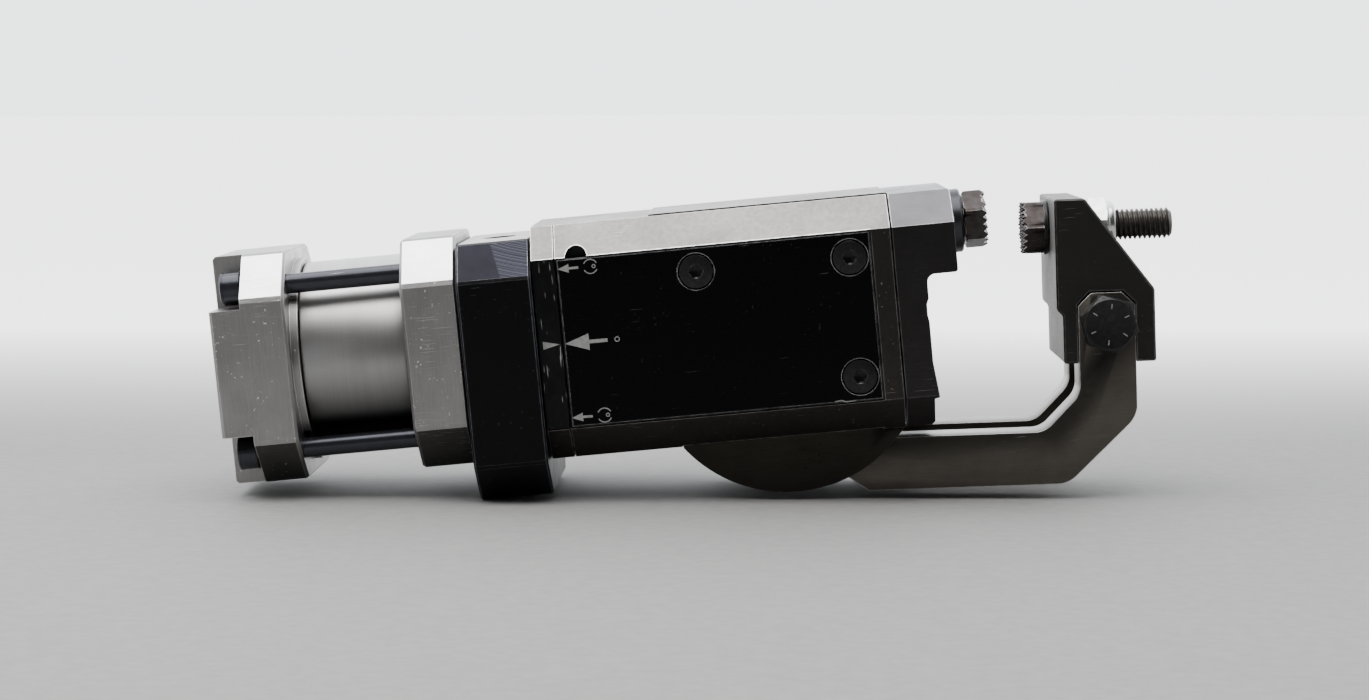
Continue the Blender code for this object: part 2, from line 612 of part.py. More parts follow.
# ---- piston, rod and crosshead, placed from the drive pin -----------------------
def make_piston_group(materials):
    slide = bpy.data.objects.new("piston_slide", None)
    bpy.context.scene.collection.objects.link(slide)
    shut_pin_x = PIVOT_X - PIN_REACH_SHUT
    slide.location = (shut_pin_x - PIN_TRAVEL_PER_RADIAN * math.radians(REST_OPENING_DEG), 0, 0)
    piston_front = FRONT_HEAD_X - SPIGOT_LENGTH - 0.4 * MM - shut_pin_x
    piston_back = piston_front - PISTON_LENGTH
    outer = BORE / 2 - FIT
    groove = outer - 3 * MM
    rings = [(piston_back, 4.3 * MM), (piston_back, outer),
             (piston_back + 2.3 * MM, outer), (piston_back + 2.3 * MM, groove),
             (piston_back + 5.7 * MM, groove), (piston_back + 5.7 * MM, outer),
             (piston_front, outer), (piston_front, 4.3 * MM)]
    piston = turned("piston", rings, (0, 0, 0), TO_PLUS_X, materials["machined_aluminium"], slide,
                    LARGE_ROUND, holed=True)
    seat_depth = 4.8 * MM
    cut(piston, cylinder("piston_screw_seat", (piston_back - MM, 0, 0), seat_depth + MM, 13.8 * MM,
                         TO_PLUS_X, parent=slide, segments=MEDIUM_ROUND))
    make_ring("piston_seal", 2 * groove + 0.6 * MM, BORE - 0.3 * MM, piston_back + 2.6 * MM,
              piston_back + 5.4 * MM, materials["rubber"], slide, LARGE_ROUND)
    socket_screw("piston_screw", (piston_back + seat_depth - 0.15 * MM, 0, 0), TO_PLUS_X, 8 * MM,
                 13 * MM, 4.4 * MM, 6 * MM, 14 * MM, materials["zinc_plated"], slide)

    rod_start = piston_front + GAP
    rod_end = -CROSSHEAD_BACK - GAP
    spigot_end = -CROSSHEAD_SLOT - 0.5 * MM
    rod_radius = ROD_DIAMETER / 2
    rings = [(rod_start, rod_radius), (rod_end, rod_radius), (rod_end, 4 * MM),
             (spigot_end, 4 * MM)]
    rod = turned("piston_rod", rings, (0, 0, 0), TO_PLUS_X, materials["satin_steel"], slide,
                 MEDIUM_ROUND)
    cut(rod, cylinder("rod_screw_hole", (rod_start - MM, 0, 0), 13 * MM, 8.6 * MM, TO_PLUS_X,
                      parent=slide))

    outline = [(-CROSSHEAD_BACK, LEVER_MARGIN), (-CROSSHEAD_BACK, -LEVER_MARGIN)]
    outline += arc((0, 0), LEVER_MARGIN, -math.pi / 2, math.pi / 2, 12)
    crosshead = prism("crosshead", outline, -CROSSHEAD_HALF_DEPTH, CROSSHEAD_HALF_DEPTH, "Y",
                      materials["burnished_steel"], slide)
    slot_half = LEVER_HALF_DEPTH + 0.4 * MM
    cut(crosshead,
        block("crosshead_slot", (-CROSSHEAD_SLOT, -slot_half, -10 * MM),
              (10 * MM, slot_half, 10 * MM), parent=slide),
        cylinder("crosshead_pin_hole", (0, -HALF_DEPTH, 0), HOUSING_DEPTH, PIN_DIAMETER + 2 * FIT,
                 TO_PLUS_Y, parent=slide, segments=MEDIUM_ROUND),
        cylinder("crosshead_rod_hole", (-CROSSHEAD_BACK - MM, 0, 0), 12 * MM, 8.6 * MM, TO_PLUS_X,
                 parent=slide))
    pin_half = CROSSHEAD_HALF_DEPTH - 0.2 * MM
    cylinder("drive_pin", (0, -pin_half, 0), 2 * pin_half, PIN_DIAMETER, TO_PLUS_Y,
             materials["satin_steel"], slide, MEDIUM_ROUND)


# ---- swing arm, placed from its pivot ---------------------------------------------
def pin_path(opening):
    """The drive pin's place in the cam lever when the arm is open by that many radians."""
    reach = -PIN_REACH_SHUT - PIN_TRAVEL_PER_RADIAN * opening
    height = -PIVOT_Z
    sine, cosine = math.sin(opening), math.cos(opening)
    return (reach * cosine - height * sine, reach * sine + height * cosine)


def slot_outline(half_width, steps=18):
    """The cam slot: the pin's path widened by a half width, with round ends."""
    first, last = -0.01, math.radians(SWING_DEG) + 0.01
    middles = [Vector(pin_path(first + (last - first) * i / steps)) for i in range(steps + 1)]
    normals = []
    for i, middle in enumerate(middles):
        ahead = middles[min(i + 1, steps)] - middles[max(i - 1, 0)]
        normals.append(Vector((-ahead.y, ahead.x)).normalized() * half_width)
    one_side = [tuple(m + n) for m, n in zip(middles, normals)]
    other_side = [tuple(m - n) for m, n in zip(middles, normals)]
    start_angle = math.atan2(normals[-1].y, normals[-1].x)
    far_end = arc(middles[-1], half_width, start_angle, start_angle - math.pi, 8)[1:-1]
    start_angle = math.atan2(-normals[0].y, -normals[0].x)
    near_end = arc(middles[0], half_width, start_angle, start_angle - math.pi, 8)[1:-1]
    return one_side + far_end + other_side[::-1] + near_end


def arm_outline():
    right_corner = (21.4 * MM, -8 * MM)
    left_corner = (14.4 * MM, -31.9 * MM)
    start = tangent_angle(right_corner, HUB_RADIUS, 1)
    end = tangent_angle(left_corner, HUB_RADIUS, -1) + 2 * math.pi
    tip = 3.2 * MM
    corners = [(*left_corner, 0),
               (19.7 * MM, BAR_BOTTOM, 0),
               (70.1 * MM, BAR_BOTTOM, 7 * MM),
               (ARM_OUTER_X, -19.1 * MM, 7 * MM),
               (ARM_OUTER_X, ARM_TOP - tip, 0),
               (ARM_OUTER_X - tip, ARM_TOP, 0),
               (ARM_INNER_X + tip, ARM_TOP, 0),
               (ARM_INNER_X, ARM_TOP - tip, 0),
               (ARM_INNER_X, -13.2 * MM, 6 * MM),
               (64.4 * MM, BAR_TOP, 6 * MM),
               (right_corner[0], BAR_TOP, 6 * MM),
               (*right_corner, 4 * MM)]
    hub = arc((0, 0), HUB_RADIUS, start, end, 14)
    corners.append((*hub[0], 0))
    return rounded(corners) + hub[1:]


def cross_hole(name, place, diameter, parent):
    return cylinder(name, (place[0], -HALF_DEPTH, place[1]), HOUSING_DEPTH, diameter, TO_PLUS_Y,
                    parent=parent, segments=MEDIUM_ROUND)


def make_arm_plate(side, label, pivot, materials):
    inner = ARM_HALF_DEPTH - ARM_PLATE_THICKNESS
    low, high = sorted((side * inner, side * ARM_HALF_DEPTH))
    plate = prism(f"arm_plate_{label}", arm_outline(), low, high, "Y",
                  materials["burnished_steel"], pivot, smooth_angle=30)
    bevel_edges(plate, 0.4 * MM)
    cut(plate,
        cross_hole(f"arm_shaft_hole_{label}", (0, 0), SHAFT_DIAMETER + 2 * FIT, pivot),
        cross_hole(f"arm_bolt_hole_{label}", (JAW_BOLT_X, JAW_BOLT_Z), 8.6 * MM, pivot))
    for i, place in enumerate(DOWEL_PLACES, 1):
        cut(plate, cross_hole(f"arm_dowel_hole_{label}_{i}", place, 6.5 * MM, pivot))
    return plate


def make_cam_lever(pivot, materials):
    points = []
    for share in (0, 0.25, 0.5, 0.75, 1):
        points += circle(pin_path(share * math.radians(SWING_DEG)), LEVER_MARGIN, MEDIUM_ROUND)
    points += circle((0, 0), HUB_RADIUS, MEDIUM_ROUND)
    points += circle(DOWEL_PLACES[-1], 6 * MM, MEDIUM_ROUND)
    lever = prism("cam_lever", hull(points), -LEVER_HALF_DEPTH, LEVER_HALF_DEPTH, "Y",
                  materials["burnished_steel"], pivot, smooth_angle=30)
    slot = prism("cam_slot", slot_outline(PIN_DIAMETER / 2 + 0.15 * MM), -HALF_DEPTH, HALF_DEPTH,
                 "Y", parent=pivot)
    cut(lever, slot, cross_hole("lever_shaft_hole", (0, 0), SHAFT_DIAMETER + 2 * FIT, pivot))
    for i, place in enumerate(DOWEL_PLACES, 1):
        cut(lever, cross_hole(f"lever_dowel_hole_{i}", place, 6.5 * MM, pivot))
    return lever


def make_jaw_block(pivot, materials):
    step = 8.2 * MM
    outline = [(69.8 * MM, -5.4 * MM), (92.9 * MM, -5.4 * MM), (92.9 * MM, 12.8 * MM),
               (75.9 * MM, 36 * MM), (68.3 * MM, 36 * MM), (68.3 * MM, step),
               (69.8 * MM, step - 1.5 * MM)]
    jaw = prism("jaw_block", outline, -ARM_HALF_DEPTH, ARM_HALF_DEPTH, "Y",
                materials["black_oxide_steel"], pivot)
    bevel_edges(jaw, 0.4 * MM)
    tip = 3.2 * MM
    low_x, high_x = ARM_INNER_X - GAP, ARM_OUTER_X + GAP
    top = ARM_TOP + 0.5 * MM
    pocket = [(low_x, -10 * MM), (high_x, -10 * MM), (high_x, top - tip), (high_x - tip, top),
              (low_x + tip, top), (low_x, top - tip)]
    web = ARM_HALF_DEPTH - ARM_PLATE_THICKNESS - GAP
    for side, label in ((-1, "front"), (1, "rear")):
        low, high = sorted((side * web, side * HALF_DEPTH))
        cut(jaw, prism(f"jaw_pocket_{label}", pocket, low, high, "Y", parent=pivot))
    cut(jaw,
        cross_hole("jaw_bolt_hole", (JAW_BOLT_X, JAW_BOLT_Z), 8.6 * MM, pivot),
        cylinder("stud_hole", (60 * MM, 0, GRIP_HEIGHT), 40 * MM, THREAD_DIAMETER + 2 * FIT,
                 TO_PLUS_X, parent=pivot, segments=MEDIUM_ROUND),
        cylinder("nut_seat", (NUT_SEAT_X, 0, GRIP_HEIGHT), 30 * MM, 17 * MM, TO_PLUS_X,
                 parent=pivot, segments=MEDIUM_ROUND))
    return jaw


def cut_teeth(pad, face_x, height, parent, facing):
    """Crossed V grooves in a pad's face, which leave rows of pyramid teeth."""
    reach = 12 * MM
    count = 7
    for direction in ("up", "across"):
        bm = bmesh.new()
        for i in range(count):
            offset = (i - (count - 1) / 2) * TOOTH_PITCH
            half = TOOTH_PITCH / 2 * 1.2
            section = [(face_x + facing * 0.2 * TOOTH_DEPTH, offset - half),
                       (face_x + facing * 0.2 * TOOTH_DEPTH, offset + half),
                       (face_x - facing * TOOTH_DEPTH, offset)]
            ends = []
            for far in (-reach, reach):
                if direction == "across":
                    corners = [(x, far, height + s) for x, s in section]
                else:
                    corners = [(x, s, height + far) for x, s in section]
                ends.append([bm.verts.new(c) for c in corners])
            bm.faces.new(ends[0])
            bm.faces.new(ends[1][::-1])
            for j in range(3):
                k = (j + 1) % 3
                bm.faces.new((ends[0][j], ends[1][j], ends[1][k], ends[0][k]))
        tool = add_object(f"{pad.name}_grooves_{direction}", bm, parent=parent)
        combine(pad, tool, "DIFFERENCE")
        pad.modifiers[tool.name].use_self = True


def make_moving_grip(pivot, materials):
    flats = PAD_ACROSS_FLATS / 2
    rings = [(STUD_TIP_X, flats, "hex"), (STUD_COLLAR_X, flats, "hex"),
             (STUD_COLLAR_X, STUD_COLLAR_RADIUS), (STUD_SEAT_X, STUD_COLLAR_RADIUS),
             (STUD_SEAT_X, THREAD_DIAMETER / 2), (STUD_END_X - MM, THREAD_DIAMETER / 2),
             (STUD_END_X, THREAD_DIAMETER / 2 - MM)]
    stud = turned("grip_stud", rings, (0, 0, GRIP_HEIGHT), TO_PLUS_X,
                  materials["black_oxide_steel"], pivot)
    cut_teeth(stud, STUD_TIP_X, GRIP_HEIGHT, pivot, facing=-1)
    inner = THREAD_DIAMETER / 2 + FIT
    low, shoulder = NUT_SEAT_X + GAP, NUT_END_X - 1.3 * MM
    rings = [(low, inner), (low, flats - 0.2 * MM), (low + 0.4 * MM, flats, "hex"),
             (shoulder - 0.4 * MM, flats, "hex"), (shoulder, 6 * MM), (NUT_END_X, 5.4 * MM),
             (NUT_END_X, inner)]
    turned("lock_nut", rings, (0, 0, GRIP_HEIGHT), TO_PLUS_X, materials["zinc_plated"], pivot,
           holed=True)


def make_jaw_bolt(pivot, materials):
    face = ARM_HALF_DEPTH + 0.3 * MM
    head = face + 5.3 * MM
    nut = face + 6.5 * MM
    end = nut + 2.5 * MM
    flats = PAD_ACROSS_FLATS / 2
    shank = THREAD_DIAMETER / 2
    rings = [(-head, flats - 0.6 * MM), (0.6 * MM - head, flats, "hex"), (-face, flats, "hex"),
             (-face, shank), (end - MM, shank), (end, shank - MM)]
    turned("jaw_bolt", rings, (JAW_BOLT_X, 0, JAW_BOLT_Z), TO_PLUS_Y,
           materials["black_oxide_steel"], pivot)
    inner = shank + FIT
    rings = [(face, inner), (face, flats - 0.3 * MM), (face + 0.5 * MM, flats, "hex"),
             (nut - 0.5 * MM, flats, "hex"), (nut, flats - 0.3 * MM), (nut, inner)]
    turned("jaw_bolt_nut", rings, (JAW_BOLT_X, 0, JAW_BOLT_Z), TO_PLUS_Y,
           materials["black_oxide_steel"], pivot, holed=True)


def make_arm_group(materials):
    pivot = bpy.data.objects.new("arm_pivot", None)
    bpy.context.scene.collection.objects.link(pivot)
    pivot.location = (PIVOT_X, 0, PIVOT_Z)
    pivot.rotation_euler = (0, math.radians(REST_OPENING_DEG), 0)
    make_arm_plate(-1, "front", pivot, materials)
    make_arm_plate(1, "rear", pivot, materials)
    make_cam_lever(pivot, materials)
    half = COVER_INNER_Y - 0.6 * MM
    cylinder("pivot_shaft", (0, -half, 0), 2 * half, SHAFT_DIAMETER, TO_PLUS_Y,
             materials["satin_steel"], pivot, MEDIUM_ROUND)
    for i, (x, z) in enumerate(DOWEL_PLACES, 1):
        half = ARM_HALF_DEPTH - 0.3 * MM
        cylinder(f"arm_dowel_{i}", (x, -half, z), 2 * half, 6 * MM, TO_PLUS_Y,
                 materials["satin_steel"], pivot, SMALL_ROUND)
    make_jaw_block(pivot, materials)
    make_moving_grip(pivot, materials)
    make_jaw_bolt(pivot, materials)


# ---- fixed jaw --------------------------------------------------------------------
def make_jaw_bracket(materials):
    half = HOUSING_HEIGHT / 2
    inner_x = BRACKET_X + BRACKET_PLATE
    relief = 0.3 * MM
    side_profile = rounded([(BRACKET_X, -half, 0),
                            (inner_x - relief - 0.8 * MM, -half, 0),
                            (inner_x - relief, -half + 0.8 * MM, 0),
                            (inner_x - relief, STOP_RAMP_LOW - relief, 0),
                            (inner_x + STOP_RAMP_HEIGHT, STOP_RAMP_LOW, 0),
                            (inner_x, STOP_RAMP_HIGH, 0),
                            (inner_x, -2.8 * MM, 0),
                            (inner_x - relief, -1.2 * MM, 0),
                            (inner_x - relief, 1.5 * MM, 0),
                            (inner_x + relief, 3 * MM, 0),
                            (inner_x + relief, BRACKET_BLOCK_BOTTOM, 2 * MM),
                            (BRACKET_END_X, BRACKET_BLOCK_BOTTOM, 0.8 * MM),
                            (BRACKET_END_X, half, 0.8 * MM),
                            (BRACKET_X, half, 0)])
    bracket = prism("jaw_bracket", side_profile, -HALF_DEPTH, HALF_DEPTH, "Y",
                    materials["burnished_steel"])
    reach = 40 * MM
    for side in (-1, 1):
        for up in (-1, 1):
            flat = HOUSING_HEIGHT / 2 - HOUSING_CHAMFER
            edge = HALF_DEPTH - HOUSING_CHAMFER
            outside = [(side * HALF_DEPTH, up * flat),
                       (side * edge, up * half),
                       (side * edge, up * reach),
                       (side * reach, up * reach),
                       (side * reach, up * flat)]
            name = f"bracket_chamfer_{side + 1}_{up + 1}"
            cut(bracket, prism(name, outside, BRACKET_X - MM, BRACKET_END_X + MM, "X"))
    cut(bracket, cylinder("fixed_pad_hole", (BRACKET_END_X + MM, 0, GRIP_HEIGHT + PIVOT_Z),
                          13 * MM, THREAD_DIAMETER + 2 * FIT, TO_MINUS_X, segments=MEDIUM_ROUND))
    for i, (y, z) in enumerate(BRACKET_SCREW_PLACES, 1):
        face = BRACKET_END_X if z > 0 else inner_x
        seat = BRACKET_X + (BRACKET_PLATE if z > 0 else 2.6 * MM)
        head_height = 6 * MM if z > 0 else 4.4 * MM
        cut(bracket,
            cylinder(f"bracket_counterbore_{i}", (seat, y, z), 20 * MM, 10.8 * MM, TO_PLUS_X,
                     segments=MEDIUM_ROUND),
            cylinder(f"bracket_hole_{i}", (BRACKET_X - MM, y, z), face - BRACKET_X + 2 * MM,
                     6.6 * MM, TO_PLUS_X))
        length = seat - BRACKET_X + (9 * MM if z > 0 else 5 * MM)
        socket_screw(f"bracket_screw_{i}", (seat + GAP, y, z), TO_MINUS_X, 6 * MM, 10 * MM,
                     head_height, 5 * MM, length, materials["black_oxide_steel"])
    return bracket


def make_fixed_grip(materials):
    height = GRIP_HEIGHT + PIVOT_Z
    inner = THREAD_DIAMETER / 2 + FIT
    outer = SPACER_DIAMETER / 2
    lip = SPACER_X + 3.4 * MM
    end = SPACER_X + SPACER_LENGTH
    rings = [(SPACER_X, inner), (SPACER_X, outer), (lip, outer), (lip, outer - 0.8 * MM),
             (end, outer - 0.8 * MM), (end, inner)]
    turned("pad_spacer", rings, (0, 0, height), TO_PLUS_X, materials["black_oxide_steel"],
           segments=MEDIUM_ROUND, holed=True)
    flats = PAD_ACROSS_FLATS / 2
    tail = BRACKET_END_X - 11 * MM
    rings = [(tail, THREAD_DIAMETER / 2 - 0.6 * MM), (tail + 0.6 * MM, THREAD_DIAMETER / 2),
             (PAD_X, THREAD_DIAMETER / 2), (PAD_X, flats, "hex"),
             (PAD_X + PAD_LENGTH, flats, "hex")]
    pad = turned("fixed_grip_pad", rings, (0, 0, height), TO_PLUS_X,
                 materials["black_oxide_steel"])
    cut_teeth(pad, PAD_X + PAD_LENGTH, height, None, facing=1)


def main():
    clear_scene()
    materials = make_materials()
    make_rear_head(materials)
    make_barrel(materials)
    make_front_head(materials)
    make_cylinder_fittings(materials)
    make_mounting_flange(materials)
    make_neck(materials)
    make_housing(materials)
    for side, label in ((-1, "front"), (1, "rear")):
        make_side_cover(side, label, materials)
        make_cheek(side, label, materials)
        make_pivot_bush(side, label, materials)
    make_piston_group(materials)
    make_arm_group(materials)
    make_jaw_bracket(materials)
    make_fixed_grip(materials)
    bpy.context.view_layer.update()


main()
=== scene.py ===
"""Looks for the pneumatic swing-arm gripper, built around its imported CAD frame.

Lengths are metres in the row frame: +X towards the jaws, +Z up, -Y to the front.
"""
import json
import math

import bmesh
import bpy
from mathutils import Matrix, Vector


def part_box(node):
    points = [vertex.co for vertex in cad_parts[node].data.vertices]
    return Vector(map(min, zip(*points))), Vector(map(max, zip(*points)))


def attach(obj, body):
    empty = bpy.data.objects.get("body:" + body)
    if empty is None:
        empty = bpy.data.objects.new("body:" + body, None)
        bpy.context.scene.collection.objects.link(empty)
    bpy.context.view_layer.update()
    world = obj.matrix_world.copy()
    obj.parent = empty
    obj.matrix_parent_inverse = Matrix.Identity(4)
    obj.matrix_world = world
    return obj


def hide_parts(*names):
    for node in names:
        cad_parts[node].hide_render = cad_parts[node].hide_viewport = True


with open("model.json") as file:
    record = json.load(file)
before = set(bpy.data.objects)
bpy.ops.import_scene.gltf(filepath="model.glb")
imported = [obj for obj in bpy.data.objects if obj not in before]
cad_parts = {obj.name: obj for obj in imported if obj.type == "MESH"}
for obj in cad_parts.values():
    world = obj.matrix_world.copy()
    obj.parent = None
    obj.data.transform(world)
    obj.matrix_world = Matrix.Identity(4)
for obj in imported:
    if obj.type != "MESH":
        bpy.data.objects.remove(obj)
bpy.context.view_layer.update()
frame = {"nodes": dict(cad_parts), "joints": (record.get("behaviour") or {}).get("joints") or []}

MM = 0.001

BODY = "gripper_body"
ARM = "swing_arm"

# The arm's joint, and how far the arm stands open at rest.
swing = next(joint for joint in frame["joints"] if joint["name"] == "arm_swing")
PIVOT = Vector(swing["pos_m"])
REST_OPENING = -math.radians(swing["range_deg"][0])
ARM_PLACE = Matrix.Translation(PIVOT) @ Matrix.Rotation(REST_OPENING, 4, "Y")

# Sizes that several pieces share. A hexagon's flats are this far from its axis.
GRIP_HEIGHT = 28.2 * MM
HEX_FLATS = 6.5 * MM
HEX_CORNER = 7.5 * MM
THREAD_RADIUS = 4 * MM
THREAD_PITCH = 1.25 * MM
SCREW_RADIUS = 2.5 * MM
CAP_RADIUS = 4.25 * MM
BOLT_X, BOLT_Z = 80.9 * MM, 4.6 * MM

# Rotations that turn a piece's own +Z axis to the named direction.
TO_PLUS_X = Matrix.Rotation(math.pi / 2, 4, "Y")
TO_PLUS_Y = Matrix.Rotation(-math.pi / 2, 4, "X")
TO_MINUS_Y = Matrix.Rotation(math.pi / 2, 4, "X")


# ---- materials -----------------------------------------------------------------------
# A grain is a noise stretch: the larger numbers are the axes it changes quickly along.
NO_GRAIN = (1, 1, 1)
EVEN_GRAIN = (900, 900, 900)
ACROSS_X = (7000, 150, 150)
ALONG_X = (140, 6500, 6500)
LEVEL = (150, 150, 5000)
HAIRLINE = (140, 9000, 9000)


class Nodes:
    """A small helper that adds and links shader nodes."""

    def __init__(self, name):
        self.material = bpy.data.materials.new(name)
        self.material.use_nodes = True
        self.tree = self.material.node_tree
        self.shader = self.tree.nodes["Principled BSDF"]
        self.place = self.add("ShaderNodeTexCoord").outputs["Object"]

    def add(self, kind, **settings):
        node = self.tree.nodes.new(kind)
        for key, value in settings.items():
            setattr(node, key, value)
        return node

    def link(self, source, target):
        self.tree.links.new(source, target)

    def axis(self, place, letter):
        split = self.add("ShaderNodeSeparateXYZ")
        self.link(place, split.inputs["Vector"])
        return split.outputs[letter]

    def noise(self, scale, detail=3.0, stretch=(1, 1, 1), turn=(0, 0, 0), roughness=0.5):
        mapping = self.add("ShaderNodeMapping")
        mapping.inputs["Scale"].default_value = stretch
        mapping.inputs["Rotation"].default_value = turn
        self.link(self.place, mapping.inputs["Vector"])
        noise = self.add("ShaderNodeTexNoise")
        noise.inputs["Scale"].default_value = scale
        noise.inputs["Detail"].default_value = detail
        noise.inputs["Roughness"].default_value = roughness
        self.link(mapping.outputs["Vector"], noise.inputs["Vector"])
        return noise.outputs["Fac"]

    def ramp(self, value, low, high, bottom=0.0, top=1.0):
        node = self.add("ShaderNodeMapRange")
        node.inputs["From Min"].default_value = low
        node.inputs["From Max"].default_value = high
        node.inputs["To Min"].default_value = bottom
        node.inputs["To Max"].default_value = top
        self.link(value, node.inputs["Value"])
        return node.outputs["Result"]

    def maths(self, operation, a, b):
        node = self.add("ShaderNodeMath", operation=operation)
        for socket, value in zip(node.inputs, (a, b)):
            if isinstance(value, (int, float)):
                socket.default_value = value
            else:
                self.link(value, socket)
        return node.outputs["Value"]

    def mix(self, factor, a, b):
        node = self.add("ShaderNodeMix", data_type="RGBA")
        if isinstance(factor, (int, float)):
            node.inputs["Factor"].default_value = factor
        else:
            self.link(factor, node.inputs["Factor"])
        for socket, value in zip((node.inputs[6], node.inputs[7]), (a, b)):
            if isinstance(value, tuple):
                socket.default_value = (*value, 1)
            else:
                self.link(value, socket)
        return node.outputs[2]

    def edges(self, radius, low, high):
        """1 on outer and inner edges, 0 on flats."""
        bevel = self.add("ShaderNodeBevel", samples=6)
        bevel.inputs["Radius"].default_value = radius
        geometry = self.add("ShaderNodeNewGeometry")
        dot = self.add("ShaderNodeVectorMath", operation="DOT_PRODUCT")
        self.link(bevel.outputs["Normal"], dot.inputs[0])
        self.link(geometry.outputs["Normal"], dot.inputs[1])
        return self.ramp(dot.outputs["Value"], high, low)

    def rubbed_and_highlit_edges(self, edges, scale, detail, low, high):
        """The edges, brightened only in patches: rubbed metal and painted edge highlight."""
        return self.maths("MULTIPLY", edges, self.ramp(self.noise(scale, detail), low, high))

    def bump(self, height, distance, strength=1.0, onto=None):
        node = self.add("ShaderNodeBump")
        node.inputs["Distance"].default_value = distance
        node.inputs["Strength"].default_value = strength
        self.link(height, node.inputs["Height"])
        if onto is not None:
            self.link(onto, node.inputs["Normal"])
        return node.outputs["Normal"]

    def scratches(self, amount):
        """Sparse hairlines in three directions; a larger amount gives more of them."""
        lines = None
        threshold = 0.84 - 0.05 * amount
        for turn in ((0.3, 0.5, 0.2), (1.1, -0.6, 0.9), (-0.5, 1.3, -0.4)):
            streaks = self.noise(1.0, 0.0, HAIRLINE, turn)
            line = self.ramp(streaks, threshold, threshold + 0.04)
            lines = line if lines is None else self.maths("MAXIMUM", lines, line)
        patches = self.ramp(self.noise(45, 1.0), 0.52, 0.64)
        return self.maths("MULTIPLY", lines, patches)


# How a rubbed, highlit edge is found: the radius of its bevel, and where the brightening starts
# and ends.
SOFT_EDGE = (0.4 * MM, 0.86, 0.995)
FINE_EDGE = (0.3 * MM, 0.78, 0.985)
# Colour of the painted shade on the barrel's underside.
UNDERSIDE_PAINTED_SHADE = (0.014, 0.014, 0.014)


def brushed_metal(name, colour, dark, roughness, metallic=1.0, grain=NO_GRAIN, grain_depth=1.0,
                  scratch=0.6, edge_wear_and_highlight=0.5, bright=(0.75, 0.74, 0.72), speckle=0.3, spot=(0, 0, 0),
                  specular=0.5):
    """Machined metal: a directional grain, blotches, small nicks, scratches and rubbed edges,
    brightened partly by a painted edge highlight.
    """
    n = Nodes(name)
    blotch = n.ramp(n.noise(55, 4.0, roughness=0.6), 0.35, 0.7)
    lines = n.noise(1.0, 2.0, grain)
    base = n.mix(n.maths("MULTIPLY", blotch, 0.55), colour, dark)
    base = n.mix(n.ramp(lines, 0.3, 0.75, 0.0, 0.35), base, dark)
    specks = n.ramp(n.noise(1300, 1.0), 0.70, 0.76)
    specks = n.maths("MULTIPLY", specks, n.ramp(n.noise(130, 2.0), 0.45, 0.6, 0.0, speckle))
    base = n.mix(specks, base, spot)
    marks = n.scratches(scratch)
    base = n.mix(n.maths("MULTIPLY", marks, 0.55), base, bright)
    # Edges brighten towards the bright colour: rubbed metal, and partly a painted edge highlight.
    rub_and_highlight = n.rubbed_and_highlit_edges(n.edges(*SOFT_EDGE), 420, 3.0, 0.2, 0.55)
    base = n.mix(n.maths("MULTIPLY", rub_and_highlight, edge_wear_and_highlight), base, bright)
    n.link(base, n.shader.inputs["Base Color"])
    rough = n.ramp(lines, 0.25, 0.75, roughness - 0.05, roughness + 0.07)
    rough = n.maths("ADD", rough, n.ramp(blotch, 0, 1, -0.03, 0.06))
    n.link(rough, n.shader.inputs["Roughness"])
    n.shader.inputs["Metallic"].default_value = metallic
    n.shader.inputs["Specular IOR Level"].default_value = specular
    height = n.bump(lines, 0.02 * MM, grain_depth)
    height = n.bump(marks, 0.03 * MM, 0.5, height)
    n.link(height, n.shader.inputs["Normal"])
    return n


def turned_metal(name, colour, dark, roughness, anisotropy, metallic=1.0, tint=None):
    """Round metal with fine rings about X; a tinted one gets warm patches and a painted shade
    that darkens its underside.
    """
    n = Nodes(name)
    rings = n.noise(1.0, 3.0, (5200, 25, 25))
    bands = n.ramp(n.noise(1.0, 2.0, (240, 30, 30)), 0.35, 0.68)
    base = n.mix(n.ramp(rings, 0.3, 0.7, 0.0, 0.25), colour, dark)
    base = n.mix(n.maths("MULTIPLY", bands, 0.2), base, dark)
    if tint is not None:
        warm = n.ramp(n.noise(38, 3.0), 0.5, 0.68, 0.0, 0.35)
        base = n.mix(warm, base, tint)
        # Painted shade: the colour darkens towards the underside, from Z 4 mm down to -16 mm.
        underside_shade = n.ramp(n.axis(n.place, "Z"), 4 * MM, -16 * MM)
        base = n.mix(underside_shade, base, UNDERSIDE_PAINTED_SHADE)
    marks = n.scratches(0.5)
    base = n.mix(n.maths("MULTIPLY", marks, 0.4), base, (0.8, 0.8, 0.8))
    n.link(base, n.shader.inputs["Base Color"])
    rough = n.ramp(rings, 0.2, 0.8, roughness - 0.02, roughness + 0.03)
    n.link(rough, n.shader.inputs["Roughness"])
    n.shader.inputs["Metallic"].default_value = metallic
    n.shader.inputs["Anisotropic"].default_value = anisotropy
    tangent = n.add("ShaderNodeTangent", direction_type="RADIAL", axis="X")
    n.link(tangent.outputs["Tangent"], n.shader.inputs["Tangent"])
    return n


def plain_finish(name, colour, dark, roughness, metallic, scale=900, depth=0.02 * MM, edge_wear_and_highlight=0.0,
                 bright=(0.3, 0.3, 0.3)):
    """A fine-grained finish for rubber, plating, bronze, marks and small screws."""
    n = Nodes(name)
    fine = n.noise(scale, 4.0)
    base = n.mix(n.ramp(fine, 0.3, 0.7), colour, dark)
    base = n.mix(n.ramp(n.noise(140, 3.0), 0.4, 0.7, 0.0, 0.5), base, dark)
    if edge_wear_and_highlight:
        # Edges brighten towards the bright colour: rubbed metal, and partly a painted edge
        # highlight.
        rub_and_highlight = n.rubbed_and_highlit_edges(n.edges(*FINE_EDGE), 600, 2.0, 0.3, 0.6)
        base = n.mix(n.maths("MULTIPLY", rub_and_highlight, edge_wear_and_highlight), base, bright)
    n.link(base, n.shader.inputs["Base Color"])
    rough = n.ramp(fine, 0.2, 0.8, roughness - 0.06, roughness + 0.1)
    n.link(rough, n.shader.inputs["Roughness"])
    n.shader.inputs["Metallic"].default_value = metallic
    n.link(n.bump(fine, depth), n.shader.inputs["Normal"])
    return n


